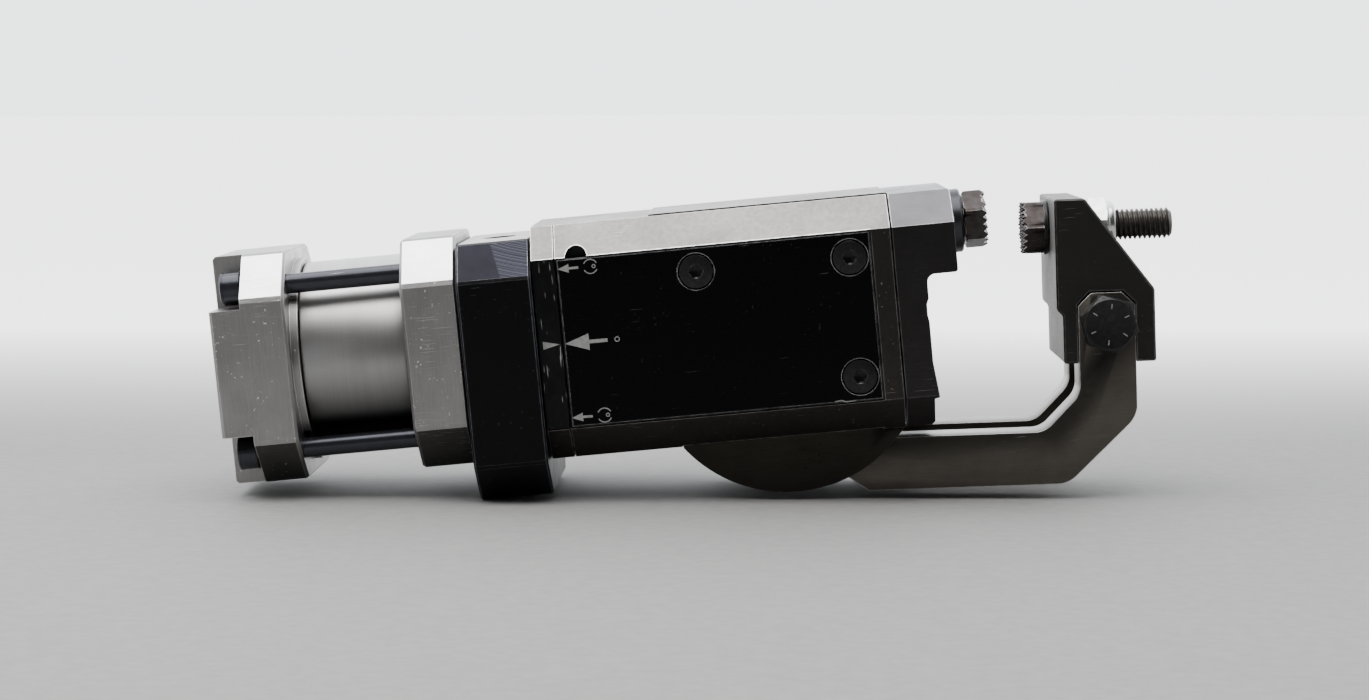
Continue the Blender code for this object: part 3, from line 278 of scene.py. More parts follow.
def milled_black(name):
    """The flange's chamfers: dark, with a cutter's arcs left on the end beside the neck."""
    n = Nodes(name)
    _, flange_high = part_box("mounting_flange")
    reach = n.add("ShaderNodeVectorMath", operation="DISTANCE")
    reach.inputs[1].default_value = (flange_high.x + 14 * MM, 0, flange_high.z + 34 * MM)
    n.link(n.place, reach.inputs[0])
    arcs = n.add("ShaderNodeTexNoise", noise_dimensions="1D")
    arcs.inputs["Scale"].default_value = 3600
    arcs.inputs["Detail"].default_value = 1.0
    n.link(reach.outputs["Value"], arcs.inputs["W"])
    lean = 0.3
    along = n.add("ShaderNodeVectorMath", operation="DOT_PRODUCT")
    along.inputs[1].default_value = (1.0, 0, lean)
    n.link(n.place, along.inputs[0])
    edge = flange_high.x - 9 * MM + lean * (flange_high.z - 4 * MM)
    milled = n.ramp(along.outputs["Value"], edge, edge + 0.5 * MM)
    marks = n.maths("MULTIPLY", n.ramp(arcs.outputs["Fac"], 0.42, 0.62), milled)
    blotch = n.ramp(n.noise(160, 4.0), 0.35, 0.7)
    base = n.mix(blotch, (0.008, 0.008, 0.0125), (0.0045, 0.0045, 0.007))
    base = n.mix(n.maths("MULTIPLY", marks, 0.8), base, (0.045, 0.045, 0.06))
    # Edges brighten towards grey: rubbed metal, and partly a painted edge highlight.
    rub_and_highlight = n.rubbed_and_highlit_edges(n.edges(*SOFT_EDGE), 300, 3.0, 0.3, 0.6)
    n.link(n.mix(rub_and_highlight, base, (0.5, 0.5, 0.52)), n.shader.inputs["Base Color"])
    n.link(n.ramp(marks, 0, 1, 0.30, 0.36), n.shader.inputs["Roughness"])
    n.shader.inputs["Metallic"].default_value = 0.8
    n.shader.inputs["Specular IOR Level"].default_value = 0.25
    n.link(n.bump(marks, 0.02 * MM), n.shader.inputs["Normal"])
    return n


def rubbed_black(name):
    """The neck's black plate: anodised, with bright streaks rubbed across it."""
    n = Nodes(name)
    blotch = n.ramp(n.noise(260, 3.0), 0.4, 0.7)
    base = n.mix(blotch, (0.002, 0.002, 0.0025), (0.006, 0.006, 0.007))
    n.shader.inputs["Specular IOR Level"].default_value = 0.16
    streaks = n.noise(1.0, 1.0, (2300, 60, 190))
    patches = n.ramp(n.noise(1.0, 1.0, (300, 60, 120)), 0.52, 0.62)
    lines = n.maths("MULTIPLY", n.ramp(streaks, 0.66, 0.72), patches)
    n.link(n.mix(lines, base, (0.62, 0.62, 0.6)), n.shader.inputs["Base Color"])
    n.link(n.ramp(lines, 0, 1, 0.3, 0.42), n.shader.inputs["Roughness"])
    n.link(lines, n.shader.inputs["Metallic"])
    n.link(n.bump(streaks, 0.02 * MM), n.shader.inputs["Normal"])
    return n


BRUSHED = {
    "head_aluminium": dict(
        colour=(0.385, 0.376, 0.372), dark=(0.205, 0.198, 0.194), roughness=0.34, grain=ACROSS_X,
        grain_depth=1.6, scratch=0.9, edge_wear_and_highlight=0.9, bright=(0.95, 0.94, 0.92), speckle=0.9,
        spot=(0.9, 0.89, 0.86)),
    # Painted highlight: a near-white copy of the head aluminium, for the heads' upper chamfers.
    "head_painted_highlight": dict(
        colour=(0.93, 0.93, 0.92), dark=(0.72, 0.715, 0.71), roughness=0.30, grain=ALONG_X,
        grain_depth=0.6, scratch=0.6, edge_wear_and_highlight=0.6, bright=(0.97, 0.97, 0.96), speckle=0.3,
        spot=(0.5, 0.5, 0.48)),
    # Painted shade: a darker copy of the head aluminium, for the heads' downward faces.
    "head_painted_shade": dict(
        colour=(0.095, 0.093, 0.091), dark=(0.050, 0.049, 0.047), roughness=0.36, grain=ALONG_X,
        grain_depth=0.8, scratch=0.8, edge_wear_and_highlight=0.9, bright=(0.8, 0.79, 0.77), speckle=0.5,
        spot=(0.5, 0.49, 0.47)),
    "housing_aluminium": dict(
        colour=(0.215, 0.202, 0.192), dark=(0.145, 0.135, 0.127), roughness=0.36,
        grain=EVEN_GRAIN, grain_depth=0.9, scratch=0.5, edge_wear_and_highlight=1.0, bright=(0.95, 0.93, 0.90),
        speckle=0.7, spot=(0.10, 0.09, 0.08)),
    # Painted shade: a darker copy of the housing aluminium, for its front, rear and downward
    # faces.
    "housing_painted_shade": dict(
        colour=(0.055, 0.050, 0.046), dark=(0.032, 0.029, 0.027), roughness=0.36,
        grain=EVEN_GRAIN, grain_depth=0.9, scratch=0.4, edge_wear_and_highlight=0.5, bright=(0.7, 0.68, 0.65),
        speckle=0.6, spot=(0.3, 0.28, 0.26)),
    "cover_black": dict(
        colour=(0.001, 0.001, 0.0013), dark=(0.002, 0.002, 0.0024), roughness=0.26, metallic=0.0,
        grain=ALONG_X, grain_depth=0.1, scratch=-0.9, edge_wear_and_highlight=0.9, bright=(0.45, 0.45, 0.45),
        speckle=0.10, spot=(0.16, 0.16, 0.16), specular=0.08),
    "flange_black": dict(
        colour=(0.001, 0.001, 0.0015), dark=(0.002, 0.002, 0.0025), roughness=0.34, metallic=0.0,
        grain=(2600, 700, 140), grain_depth=0.5, scratch=-0.3, edge_wear_and_highlight=0.7,
        bright=(0.34, 0.36, 0.42), speckle=0.2, spot=(0.2, 0.2, 0.22), specular=0.15),
    "flange_ground": dict(
        colour=(0.40, 0.38, 0.36), dark=(0.28, 0.265, 0.25), roughness=0.32, grain=ALONG_X,
        scratch=0.5, edge_wear_and_highlight=0.6),
    "arm_steel": dict(
        colour=(0.118, 0.108, 0.095), dark=(0.074, 0.067, 0.058), roughness=0.33, grain=ALONG_X,
        grain_depth=0.5, scratch=0.3, edge_wear_and_highlight=1.0, bright=(0.9, 0.88, 0.85), speckle=0.5,
        spot=(0.07, 0.06, 0.05)),
    "cheek_steel": dict(
        colour=(0.034, 0.030, 0.026), dark=(0.020, 0.018, 0.015), roughness=0.38, grain=ALONG_X,
        grain_depth=0.5, scratch=0.6, edge_wear_and_highlight=0.6, bright=(0.5, 0.48, 0.45), speckle=0.5),
    "bracket_steel": dict(
        colour=(0.044, 0.041, 0.041), dark=(0.026, 0.024, 0.024), roughness=0.30, metallic=0.95,
        grain=LEVEL, grain_depth=0.5, scratch=0.2, edge_wear_and_highlight=0.4, bright=(0.6, 0.58, 0.57),
        speckle=0.4),
    # Painted highlight: a brighter copy of the bracket steel, for its upper chamfers.
    "bracket_painted_highlight": dict(
        colour=(0.118, 0.116, 0.124), dark=(0.080, 0.078, 0.084), roughness=0.30, metallic=0.95,
        grain=ALONG_X, grain_depth=0.5, scratch=0.2, edge_wear_and_highlight=0.9, bright=(0.75, 0.74, 0.74),
        speckle=0.4),
    "jaw_black": dict(
        colour=(0.024, 0.022, 0.021), dark=(0.014, 0.013, 0.0125), roughness=0.38, metallic=0.6,
        grain=LEVEL, grain_depth=0.5, scratch=0.1, edge_wear_and_highlight=0.6, bright=(0.42, 0.41, 0.39),
        speckle=0.5, spot=(0.12, 0.10, 0.09)),
    "jaw_ground": dict(
        colour=(0.24, 0.232, 0.228), dark=(0.16, 0.155, 0.152), roughness=0.58, metallic=0.3,
        grain=LEVEL, grain_depth=0.8, scratch=0.5, edge_wear_and_highlight=0.5, bright=(0.85, 0.84, 0.82),
        speckle=0.4, specular=0.2),
}
TURNED = {
    # The tint also turns on the painted shade under the barrel.
    "barrel_steel": dict(
        colour=(0.55, 0.545, 0.545), dark=(0.33, 0.325, 0.32), roughness=0.34, anisotropy=0.0,
        tint=(0.42, 0.37, 0.32)),
    "rod_black": dict(
        colour=(0.052, 0.054, 0.063), dark=(0.024, 0.025, 0.031), roughness=0.24, anisotropy=0.2,
        metallic=0.75),
    "ground_steel": dict(
        colour=(0.62, 0.62, 0.61), dark=(0.45, 0.45, 0.44), roughness=0.22, anisotropy=0.3),
    "spacer_black": dict(
        colour=(0.06, 0.062, 0.068), dark=(0.03, 0.031, 0.035), roughness=0.30, anisotropy=0.2,
        metallic=0.85),
}
PLAIN = {
    "black_screw": dict(
        colour=(0.026, 0.025, 0.026), dark=(0.013, 0.0125, 0.013), roughness=0.34, metallic=0.6,
        edge_wear_and_highlight=0.7, bright=(0.30, 0.30, 0.31)),
    "pad_steel": dict(
        colour=(0.050, 0.047, 0.048), dark=(0.036, 0.029, 0.027), roughness=0.26, metallic=1.0,
        scale=500, depth=0.008 * MM, edge_wear_and_highlight=0.9, bright=(0.5, 0.46, 0.43)),
    "thread_steel": dict(
        colour=(0.13, 0.12, 0.11), dark=(0.06, 0.053, 0.048), roughness=0.42, metallic=0.9,
        scale=700, edge_wear_and_highlight=0.5, bright=(0.35, 0.31, 0.27)),
    "zinc": dict(
        colour=(0.88, 0.88, 0.87), dark=(0.72, 0.72, 0.70), roughness=0.2, metallic=1.0,
        scale=500, depth=0.006 * MM),
    "bronze": dict(
        colour=(0.55, 0.36, 0.18), dark=(0.40, 0.25, 0.12), roughness=0.34, metallic=1.0),
    "rubber": dict(
        colour=(0.022, 0.022, 0.022), dark=(0.012, 0.012, 0.012), roughness=0.66, metallic=0.0),
    "mark_grey": dict(
        colour=(0.46, 0.46, 0.45), dark=(0.30, 0.30, 0.29), roughness=0.5, metallic=0.4),
    "tick_grey": dict(
        colour=(0.36, 0.36, 0.37), dark=(0.22, 0.22, 0.23), roughness=0.4, metallic=0.3),
    # Painted highlight: a near-white material for the arm plates' bevelled edges.
    "edge_painted_highlight": dict(
        colour=(0.96, 0.95, 0.93), dark=(0.62, 0.60, 0.58), roughness=0.24, metallic=0.6,
        scale=260),
}


def make_materials():
    made = {"neck_black": rubbed_black("neck_black"),
            "flange_milled": milled_black("flange_milled")}
    for make, looks in ((brushed_metal, BRUSHED), (turned_metal, TURNED), (plain_finish, PLAIN)):
        for name, look in looks.items():
            made[name] = make(name, **look)
    return {name: nodes.material for name, nodes in made.items()}


# ---- mesh helpers --------------------------------------------------------------------
WELD_DISTANCE = 0.002 * MM
SHARP_ANGLE = math.radians(21.5)


def smooth_group():
    """A modifier that welds a mesh and shades it smooth between its sharp edges."""
    group = bpy.data.node_groups.new("weld_and_smooth", "GeometryNodeTree")
    group.interface.new_socket("Geometry", in_out="INPUT", socket_type="NodeSocketGeometry")
    group.interface.new_socket("Geometry", in_out="OUTPUT", socket_type="NodeSocketGeometry")
    nodes, links = group.nodes, group.links
    start, end = nodes.new("NodeGroupInput"), nodes.new("NodeGroupOutput")
    merge = nodes.new("GeometryNodeMergeByDistance")
    merge.inputs["Distance"].default_value = WELD_DISTANCE
    faces = nodes.new("GeometryNodeSetShadeSmooth")
    edges = nodes.new("GeometryNodeSetShadeSmooth")
    edges.domain = "EDGE"
    angle = nodes.new("GeometryNodeInputMeshEdgeAngle")
    sharp = nodes.new("FunctionNodeCompare")
    sharp.operation = "GREATER_THAN"
    sharp.inputs["B"].default_value = SHARP_ANGLE
    edges.inputs["Shade Smooth"].default_value = False
    links.new(angle.outputs["Unsigned Angle"], sharp.inputs["A"])
    links.new(start.outputs[0], merge.inputs["Geometry"])
    links.new(merge.outputs["Geometry"], faces.inputs["Geometry"])
    links.new(faces.outputs["Geometry"], edges.inputs["Geometry"])
    links.new(sharp.outputs["Result"], edges.inputs["Selection"])
    links.new(edges.outputs["Geometry"], end.inputs[0])
    return group


def finish_cad_node(name, material, group):
    """Gives a whole CAD node one finish and smooth shading; its mesh stays as it is."""
    node = frame["nodes"][name]
    node.data.materials.clear()
    node.data.materials.append(material)
    for face in node.data.polygons:
        face.material_index = 0
    custom = node.data.attributes.get("custom_normal")
    if custom is not None:
        node.data.attributes.remove(custom)
    modifier = node.modifiers.new("weld_and_smooth", "NODES")
    modifier.node_group = group


def second_finish(name, material, chosen):
    """Gives the faces of a CAD node for which chosen(centre, normal) holds another finish."""
    node = frame["nodes"][name]
    node.data.materials.append(material)
    second = len(node.data.materials) - 1
    for face in node.data.polygons:
        if chosen(face.center, face.normal):
            face.material_index = second


def add_piece(name, bm, material, place=None, sharp_angle=30):
    """A new piece from a bmesh, with its mesh moved to its place."""
    bmesh.ops.recalc_face_normals(bm, faces=bm.faces)
    mesh = bpy.data.meshes.new(name)
    bm.to_mesh(mesh)
    bm.free()
    if place is not None:
        mesh.transform(place)
    mesh.shade_smooth()
    mesh.set_sharp_from_angle(angle=math.radians(sharp_angle))
    mesh.materials.append(material)
    piece = bpy.data.objects.new(name, mesh)
    bpy.context.scene.collection.objects.link(piece)
    return piece


def hex_rings(start, end, steps=5):
    """Rings of a chamfered hexagon's corners, from one (height, radius) to another."""
    (low, first), (high, last) = start, end
    return [(low + (high - low) * i / steps, first + (last - first) * i / steps, HEX_FLATS)
            for i in range(steps + 1)]


def turned(name, rings, material, place, segments=96, holed=False, sharp_angle=30):
    """Rings stacked along +Z: (height, radius) or (height, radius, half across flats).

    The third value cuts the ring by a hexagon, which gives a chamfered hex its curved edges.
    """
    bm = bmesh.new()
    loops = []
    for height, radius, *flats in rings:
        loop = []
        for i in range(segments):
            angle = 2 * math.pi * i / segments
            reach = radius
            if flats:
                reach = min(radius, flats[0] / math.cos(angle % (math.pi / 3) - math.pi / 6))
            loop.append(bm.verts.new((reach * math.cos(angle), reach * math.sin(angle), height)))
        loops.append(loop)
    pairs = list(zip(loops, loops[1:]))
    if holed:
        pairs.append((loops[-1], loops[0]))
    for lower, upper in pairs:
        for i in range(segments):
            j = (i + 1) % segments
            bm.faces.new((lower[i], lower[j], upper[j], upper[i]))
    if not holed:
        for loop, ring in ((loops[0], rings[0]), (loops[-1], rings[-1])):
            centre = bm.verts.new((0, 0, ring[0]))
            for i in range(segments):
                bm.faces.new((loop[i], loop[(i + 1) % segments], centre))
    return add_piece(name, bm, material, place, sharp_angle)


def arc(centre, radius, start, end, steps):
    """Points along a circle from one angle to another, both ends included."""
    step = (end - start) / steps
    return [(centre[0] + radius * math.cos(start + i * step),
             centre[1] + radius * math.sin(start + i * step)) for i in range(steps + 1)]


def rounded(corners):
    """An outline whose (x, z, radius) corners are rounded where the radius isn't 0."""
    steps = 14
    points = []
    for i, (x, z, radius) in enumerate(corners):
        corner = Vector((x, z))
        if radius == 0:
            points.append((x, z))
            continue
        before = (Vector(corners[i - 1][:2]) - corner).normalized()
        after = (Vector(corners[(i + 1) % len(corners)][:2]) - corner).normalized()
        half = before.angle(after) / 2
        middle = corner + (before + after).normalized() * radius / math.sin(half)
        first = corner + before * radius / math.tan(half) - middle
        last = corner + after * radius / math.tan(half) - middle
        start = math.atan2(first.y, first.x)
        sweep = math.remainder(math.atan2(last.y, last.x) - start, 2 * math.pi)
        points += arc(middle, radius, start, start + sweep, steps)
    return points


def prism(outline, low, high):
    """An (x, z) outline extruded from y=low to y=high."""
    bm = bmesh.new()
    face = bm.faces.new([bm.verts.new((x, low, z)) for x, z in outline])
    extruded = bmesh.ops.extrude_face_region(bm, geom=[face], use_keep_orig=True)
    moved = [v for v in extruded["geom"] if isinstance(v, bmesh.types.BMVert)]
    bmesh.ops.translate(bm, verts=moved, vec=(0, high - low, 0))
    return bm


def plate(name, outline, low, high, material, place, bevel, holes, bevel_highlight=None):
    """A prism with rounded edges and round holes, each given as (x, z, radius)."""
    piece = add_piece(name, prism(outline, low, high), material, place)
    cutters = []
    for i, (x, z, radius) in enumerate(holes):
        rings = [(low - MM, radius), (high + MM, radius)]
        hole_place = place @ Matrix.Translation((x, 0, z)) @ TO_PLUS_Y
        cutter = turned(f"{name}_hole_{i}", rings, material, hole_place, 64)
        cut(piece, cutter)
        cutters.append(cutter)
    round_edges(piece, bevel, bevel_highlight)
    return settle(piece, cutters)


def round_edges(piece, width, bevel_highlight):
    """Rounds the sharp edges; the new faces may get their own finish, a painted highlight."""
    bevel = piece.modifiers.new("bevel", "BEVEL")
    if bevel_highlight is not None:
        piece.data.materials.append(bevel_highlight)
        bevel.material = 1
    bevel.width = width
    bevel.segments = 3
    bevel.limit_method = "ANGLE"
    bevel.angle_limit = math.radians(35)
    bevel.harden_normals = True


def cut(piece, cutter):
    """Takes the cutter's volume out of the piece."""
    boolean = piece.modifiers.new(cutter.name, "BOOLEAN")
    boolean.operation = "DIFFERENCE"
    boolean.solver = "EXACT"
    boolean.object = cutter


def settle(piece, cutters):
    """Applies a piece's modifiers, removes its cutters and marks its sharp edges."""
    graph = bpy.context.evaluated_depsgraph_get()
    mesh = bpy.data.meshes.new_from_object(piece.evaluated_get(graph))
    piece.modifiers.clear()
    piece.data = mesh
    for cutter in cutters:
        bpy.data.objects.remove(cutter)
    mesh.shade_smooth()
    mesh.set_sharp_from_angle(angle=math.radians(32))
    return piece


def stand_for(piece, body, slot, *nodes):
    """Rides the piece on a body, in place of the CAD nodes it is modelled after."""
    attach(piece, body)
    if nodes:
        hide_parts(*nodes)
    return piece


# ---- cylinder ------------------------------------------------------------------------
def make_barrel(materials):
    """The tube between the two heads, with softened rims."""
    low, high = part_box("barrel")
    outer, bore = (high.z - low.z) / 2, 20 * MM
    lip = 0.6 * MM
    rings = [(low.x, bore), (low.x, outer - lip), (low.x + 0.2 * lip, outer - 0.3 * lip),
             (low.x + lip, outer), (high.x - lip, outer), (high.x - 0.2 * lip, outer - 0.3 * lip),
             (high.x, outer - lip), (high.x, bore)]
    barrel = turned("barrel_tube", rings, materials["barrel_steel"], TO_PLUS_X, 192, holed=True)
    stand_for(barrel, BODY, "satin_steel", "barrel")


def cap_screw(name, length, head_height, socket, material, place, knurled=True):
    """A socket-head cap screw along +Z, with its head's underside at height 0."""
    shank, head = SCREW_RADIUS, CAP_RADIUS
    edge = 0.35 * MM
    depth = 0.55 * head_height
    top = -head_height
    grip = 0.03 * head if knurled else 0.0
    rings = [(length, 0.75 * shank), (length - 0.5 * MM, shank), (0.3 * MM, shank),
             (0, shank + 0.3 * MM), (0, head - edge), (-0.3 * edge, head - 0.3 * edge),
             (-edge, head)]
    if knurled:
        rings += [(-1.2 * edge, head - grip), (top + 2.2 * edge, head - grip),
                  (top + 2.0 * edge, head)]
    rings += [(top + edge, head), (top + 0.3 * edge, head - 0.3 * edge), (top, head - edge),
              (top, socket * 1.19), (top + 0.25 * MM, 2 * socket, socket),
              (top + depth, 2 * socket, socket), (top + depth + 0.3 * MM, 0.3 * MM)]
    return turned(name, rings, material, place, 72, sharp_angle=34)


def make_tie_screws(materials):
    head_height = 5 * MM
    for i in range(1, 5):
        low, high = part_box(f"tie_screw_{i}")
        y, z = (low.y + high.y) / 2, (low.z + high.z) / 2
        place = Matrix.Translation((low.x + head_height, y, z)) @ TO_PLUS_X
        screw = cap_screw(f"tie_cap_screw_{i}", high.x - low.x - head_height, head_height,
                          2 * MM, materials["rod_black"], place)
        stand_for(screw, BODY, "black_oxide_steel", f"tie_screw_{i}")


def make_cover_screws(materials):
    head_height = 3.4 * MM
    for i in range(1, 7):
        low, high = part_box(f"cover_screw_{i}")
        x, z = (low.x + high.x) / 2, (low.z + high.z) / 2
        front = low.y < 0
        under = low.y + head_height if front else high.y - head_height
        place = Matrix.Translation((x, under, z)) @ (TO_PLUS_Y if front else TO_MINUS_Y)
        screw = cap_screw(f"cover_cap_screw_{i}", high.y - low.y - head_height, head_height,
                          1.5 * MM, materials["black_screw"], place, knurled=False)
        stand_for(screw, BODY, "black_oxide_steel", f"cover_screw_{i}")


# ---- index marks on the covers -------------------------------------------------------
def flat_mark(name, outline, y, material):
    """A filled outline, as (x, z) points, lying a little proud of a side face."""
    proud = 0.04 * MM
    mark = add_piece(name, prism(outline, y - proud, y + proud), material)
    stand_for(mark, BODY, "machined_aluminium")


def arrow(tip_x, z, length, head, half_width, shaft):
    """An arrow that points along -X from its tail to its tip."""
    return [(tip_x, z), (tip_x + head, z - half_width), (tip_x + head, z - shaft),
            (tip_x + length, z - shaft), (tip_x + length, z + shaft), (tip_x + head, z + shaft),
            (tip_x + head, z + half_width)]


def band(centre, radius, width, start, end, steps=28):
    """Part of a ring, between two angles."""
    outer = arc(centre, radius + width / 2, start, end, steps)
    inner = arc(centre, radius - width / 2, end, start, steps)
    return outer + inner


NEARLY_ROUND = (0, 1.96 * math.pi)
TURN_ARCS = {"over": (0.15 * math.pi, 0.85 * math.pi), "under": (1.15 * math.pi, 1.85 * math.pi)}
# A nick near the front cover's lower edge, in millimetres.
NICK = [(153.2, -20.4), (155.0, -20.25), (156.2, -20.75), (158.4, -20.65), (158.4, -20.8),
        (156.1, -20.95), (154.9, -20.5), (153.3, -20.6)]


def make_index_marks(materials):
    """Arrows, rings and turn signs at the covers' rear ends, and a pointer on each neck plate."""
    grey = materials["mark_grey"]
    cover_low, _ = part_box("side_cover_front")
    neck_low, neck_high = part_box("neck_plate_front")
    start = cover_low.x
    for side, y in (("front", cover_low.y), ("rear", -cover_low.y)):
        main = arrow(start + 0.3 * MM, 0, 10.6 * MM, 6 * MM, 2.1 * MM, 0.45 * MM)
        flat_mark(f"arrow_main_{side}", main, y, grey)
        ring = band((start + 13.3 * MM, 0), 0.55 * MM, 0.25 * MM, *NEARLY_ROUND)
        flat_mark(f"ring_main_{side}", ring, y, grey)
        for label, z in (("upper", 18.6 * MM), ("lower", -18.6 * MM)):
            small = arrow(start + 0.2 * MM, z, 5.2 * MM, 2.8 * MM, 1.1 * MM, 0.3 * MM)
            flat_mark(f"arrow_{label}_{side}", small, y, grey)
            centre = (start + 8.4 * MM, z)
            for part, angles in TURN_ARCS.items():
                turn = band(centre, 1.75 * MM, 0.25 * MM, *angles)
                flat_mark(f"turn_{part}_{label}_{side}", turn, y, grey)
            dot = band((centre[0] + 0.8 * MM, z), 0.4 * MM, 0.22 * MM, *NEARLY_ROUND, 18)
            flat_mark(f"turn_ring_{label}_{side}", dot, y, grey)
        tip, tail = neck_high.x - 0.4 * MM, neck_low.x + 1.0 * MM
        flat_mark(f"pointer_{side}", [(tip, 0), (tail, 1.0 * MM), (tail, -1.0 * MM)], y, grey)
    flat_mark("cover_nick", [(x * MM, z * MM) for x, z in NICK], cover_low.y, grey)


# ---- swing arm, drawn from its pivot with the jaws shut ------------------------------
def arm_outline():
    """The L-shaped arm: a round hub, a level bar and an upright end."""
    hub = 12 * MM
    right, left = (21.4 * MM, -8 * MM), (14.4 * MM, -31.9 * MM)
    start = math.atan2(right[1], right[0]) + math.acos(hub / math.hypot(*right))
    end = math.atan2(left[1], left[0]) - math.acos(hub / math.hypot(*left)) + 2 * math.pi
    bottom, top = -35.7 * MM, -22.4 * MM
    inner, outer, tip = 73.6 * MM, 87.8 * MM, 3.2 * MM
    end_z = 12.2 * MM
    circle = arc((0, 0), hub, start, end, 40)
    corners = [(*left, 0), (19.7 * MM, bottom, 0), (70.1 * MM, bottom, 7 * MM),
               (outer, -19.1 * MM, 7 * MM), (outer, end_z - tip, 0), (outer - tip, end_z, 0),
               (inner + tip, end_z, 0), (inner, end_z - tip, 0), (inner, -13.2 * MM, 6 * MM),
               (64.4 * MM, top, 6 * MM), (right[0], top, 6 * MM), (*right, 4 * MM),
               (*circle[0], 0)]
    return rounded(corners) + circle[1:]


def make_arm_plates(materials):
    """The arm's two sides, with holes for the shaft, the jaw bolt and two dowels."""
    shaft, bolt, dowel = 6.25 * MM, 4.3 * MM, 3.25 * MM
    holes = [(0, 0, shaft), (BOLT_X, BOLT_Z, bolt), (9 * MM, -14 * MM, dowel),
             (14.5 * MM, -22.5 * MM, dowel)]
    inner, outer = 6.6 * MM, 18.75 * MM
    for side, label in ((-1, "front"), (1, "rear")):
        low, high = sorted((side * inner, side * outer))
        # The bevels get the painted-highlight material.
        arm = plate(f"arm_side_{label}", arm_outline(), low, high, materials["arm_steel"],
                    ARM_PLACE, 0.45 * MM, holes, materials["edge_painted_highlight"])
        stand_for(arm, ARM, "burnished_steel", f"arm_plate_{label}")


def make_cheeks(materials):
    """Wear plates that end in an arc about the pivot, below the housing."""
    radius, shaft = 35.1 * MM, 8.25 * MM
    ledge, right = -29.6 * MM, 165 * MM
    drop = ledge - PIVOT.z
    half = math.sqrt(radius ** 2 - drop ** 2)
    angles = math.atan2(drop, -half), math.atan2(drop, half)
    for label in ("front", "rear"):
        low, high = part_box(f"cheek_plate_{label}")
        outline = [(right, ledge), (right, high.z), (low.x, high.z)]
        outline += arc((PIVOT.x, PIVOT.z), radius, *angles, 90)
        cheek = plate(f"cheek_{label}_plate", outline, low.y, high.y, materials["cheek_steel"],
                      Matrix(), 0.25 * MM, [(PIVOT.x, PIVOT.z, shaft)])
        stand_for(cheek, BODY, "burnished_steel", f"cheek_plate_{label}")


# ---- jaws ----------------------------------------------------------------------------
def threaded(name, low, high, material, place, segments=64):
    """An M8 x 1.25 screw thread along +Z with a chamfered far end."""
    depth = 0.61 * THREAD_PITCH
    crest_half, flank_width = 0.08, 0.34
    crest = THREAD_RADIUS - 0.05 * MM
    end = THREAD_RADIUS - 1.0 * MM
    count = int((high - low) / THREAD_PITCH * 10)
    bm = bmesh.new()
    loops = []
    for step in range(count + 1):
        height = low + (high - low) * step / count
        loop = []
        for i in range(segments):
            angle = 2 * math.pi * i / segments
            phase = (height / THREAD_PITCH - angle / (2 * math.pi)) % 1
            flank = min(max((abs(phase - 0.5) - crest_half) / flank_width, 0), 1)
            reach = min(crest - depth * flank, end + high - height)
            loop.append(bm.verts.new((reach * math.cos(angle), reach * math.sin(angle), height)))
        loops.append(loop)
    for lower, upper in zip(loops, loops[1:]):
        for i in range(segments):
            j = (i + 1) % segments
            bm.faces.new((lower[i], lower[j], upper[j], upper[i]))
    for loop, height in ((loops[0], low), (loops[-1], high)):
        centre = bm.verts.new((0, 0, height))
        for i in range(segments):
            bm.faces.new((loop[i], loop[(i + 1) % segments], centre))
    return add_piece(name, bm, material, place, 50)


def serrated_pad(name, back, face, material, place, tail=None):
    """A hexagonal pad along +Z with rows of pyramid teeth on its face."""
    edge = 7.35 * MM
    direction = 1 if face > back else -1
    chamfer = 0.35 * MM * direction
    rings = [(back, edge - 0.5 * MM, HEX_FLATS), (back + chamfer, edge + 0.3 * MM, HEX_FLATS),
             (face - 1.4 * chamfer, edge + 0.3 * MM, HEX_FLATS),
             (face, edge - 0.3 * MM, HEX_FLATS)]
    if tail is not None:
        neck = THREAD_RADIUS - 0.1 * MM
        rings = [(tail, neck - 0.6 * MM), (tail + 0.6 * MM * direction, neck),
                 (back, neck)] + rings
    pad = turned(name, rings, material, place, 96)
    pitch, depth, count = 1.85 * MM, 1.15 * MM, 9
    reach = pitch * count / 2
    peak, valley = face + 0.06 * MM * direction, face - depth * direction
    clear = face + 2 * MM * direction
    comb = [(clear, -reach), (clear, reach), (peak, reach)]
    for i in range(count):
        middle = reach - (i + 0.5) * pitch
        comb += [(valley, middle), (peak, middle - pitch / 2)]
    cutters = []
    for crossed in (False, True):
        bm = bmesh.new()
        ends = []
        for far in (-reach - MM, reach + MM):
            points = [(far, s, h) if crossed else (s, far, h) for h, s in comb]
            ends.append([bm.verts.new(p) for p in points])
        bm.faces.new(ends[0])
        bm.faces.new(ends[1][::-1])
        for j in range(len(comb)):
            k = (j + 1) % len(comb)
            bm.faces.new((ends[0][j], ends[1][j], ends[1][k], ends[0][k]))
        cutter = add_piece(f"{name}_grooves_{crossed}", bm, material, place)
        cut(pad, cutter)
        cutters.append(cutter)
    return settle(pad, cutters)


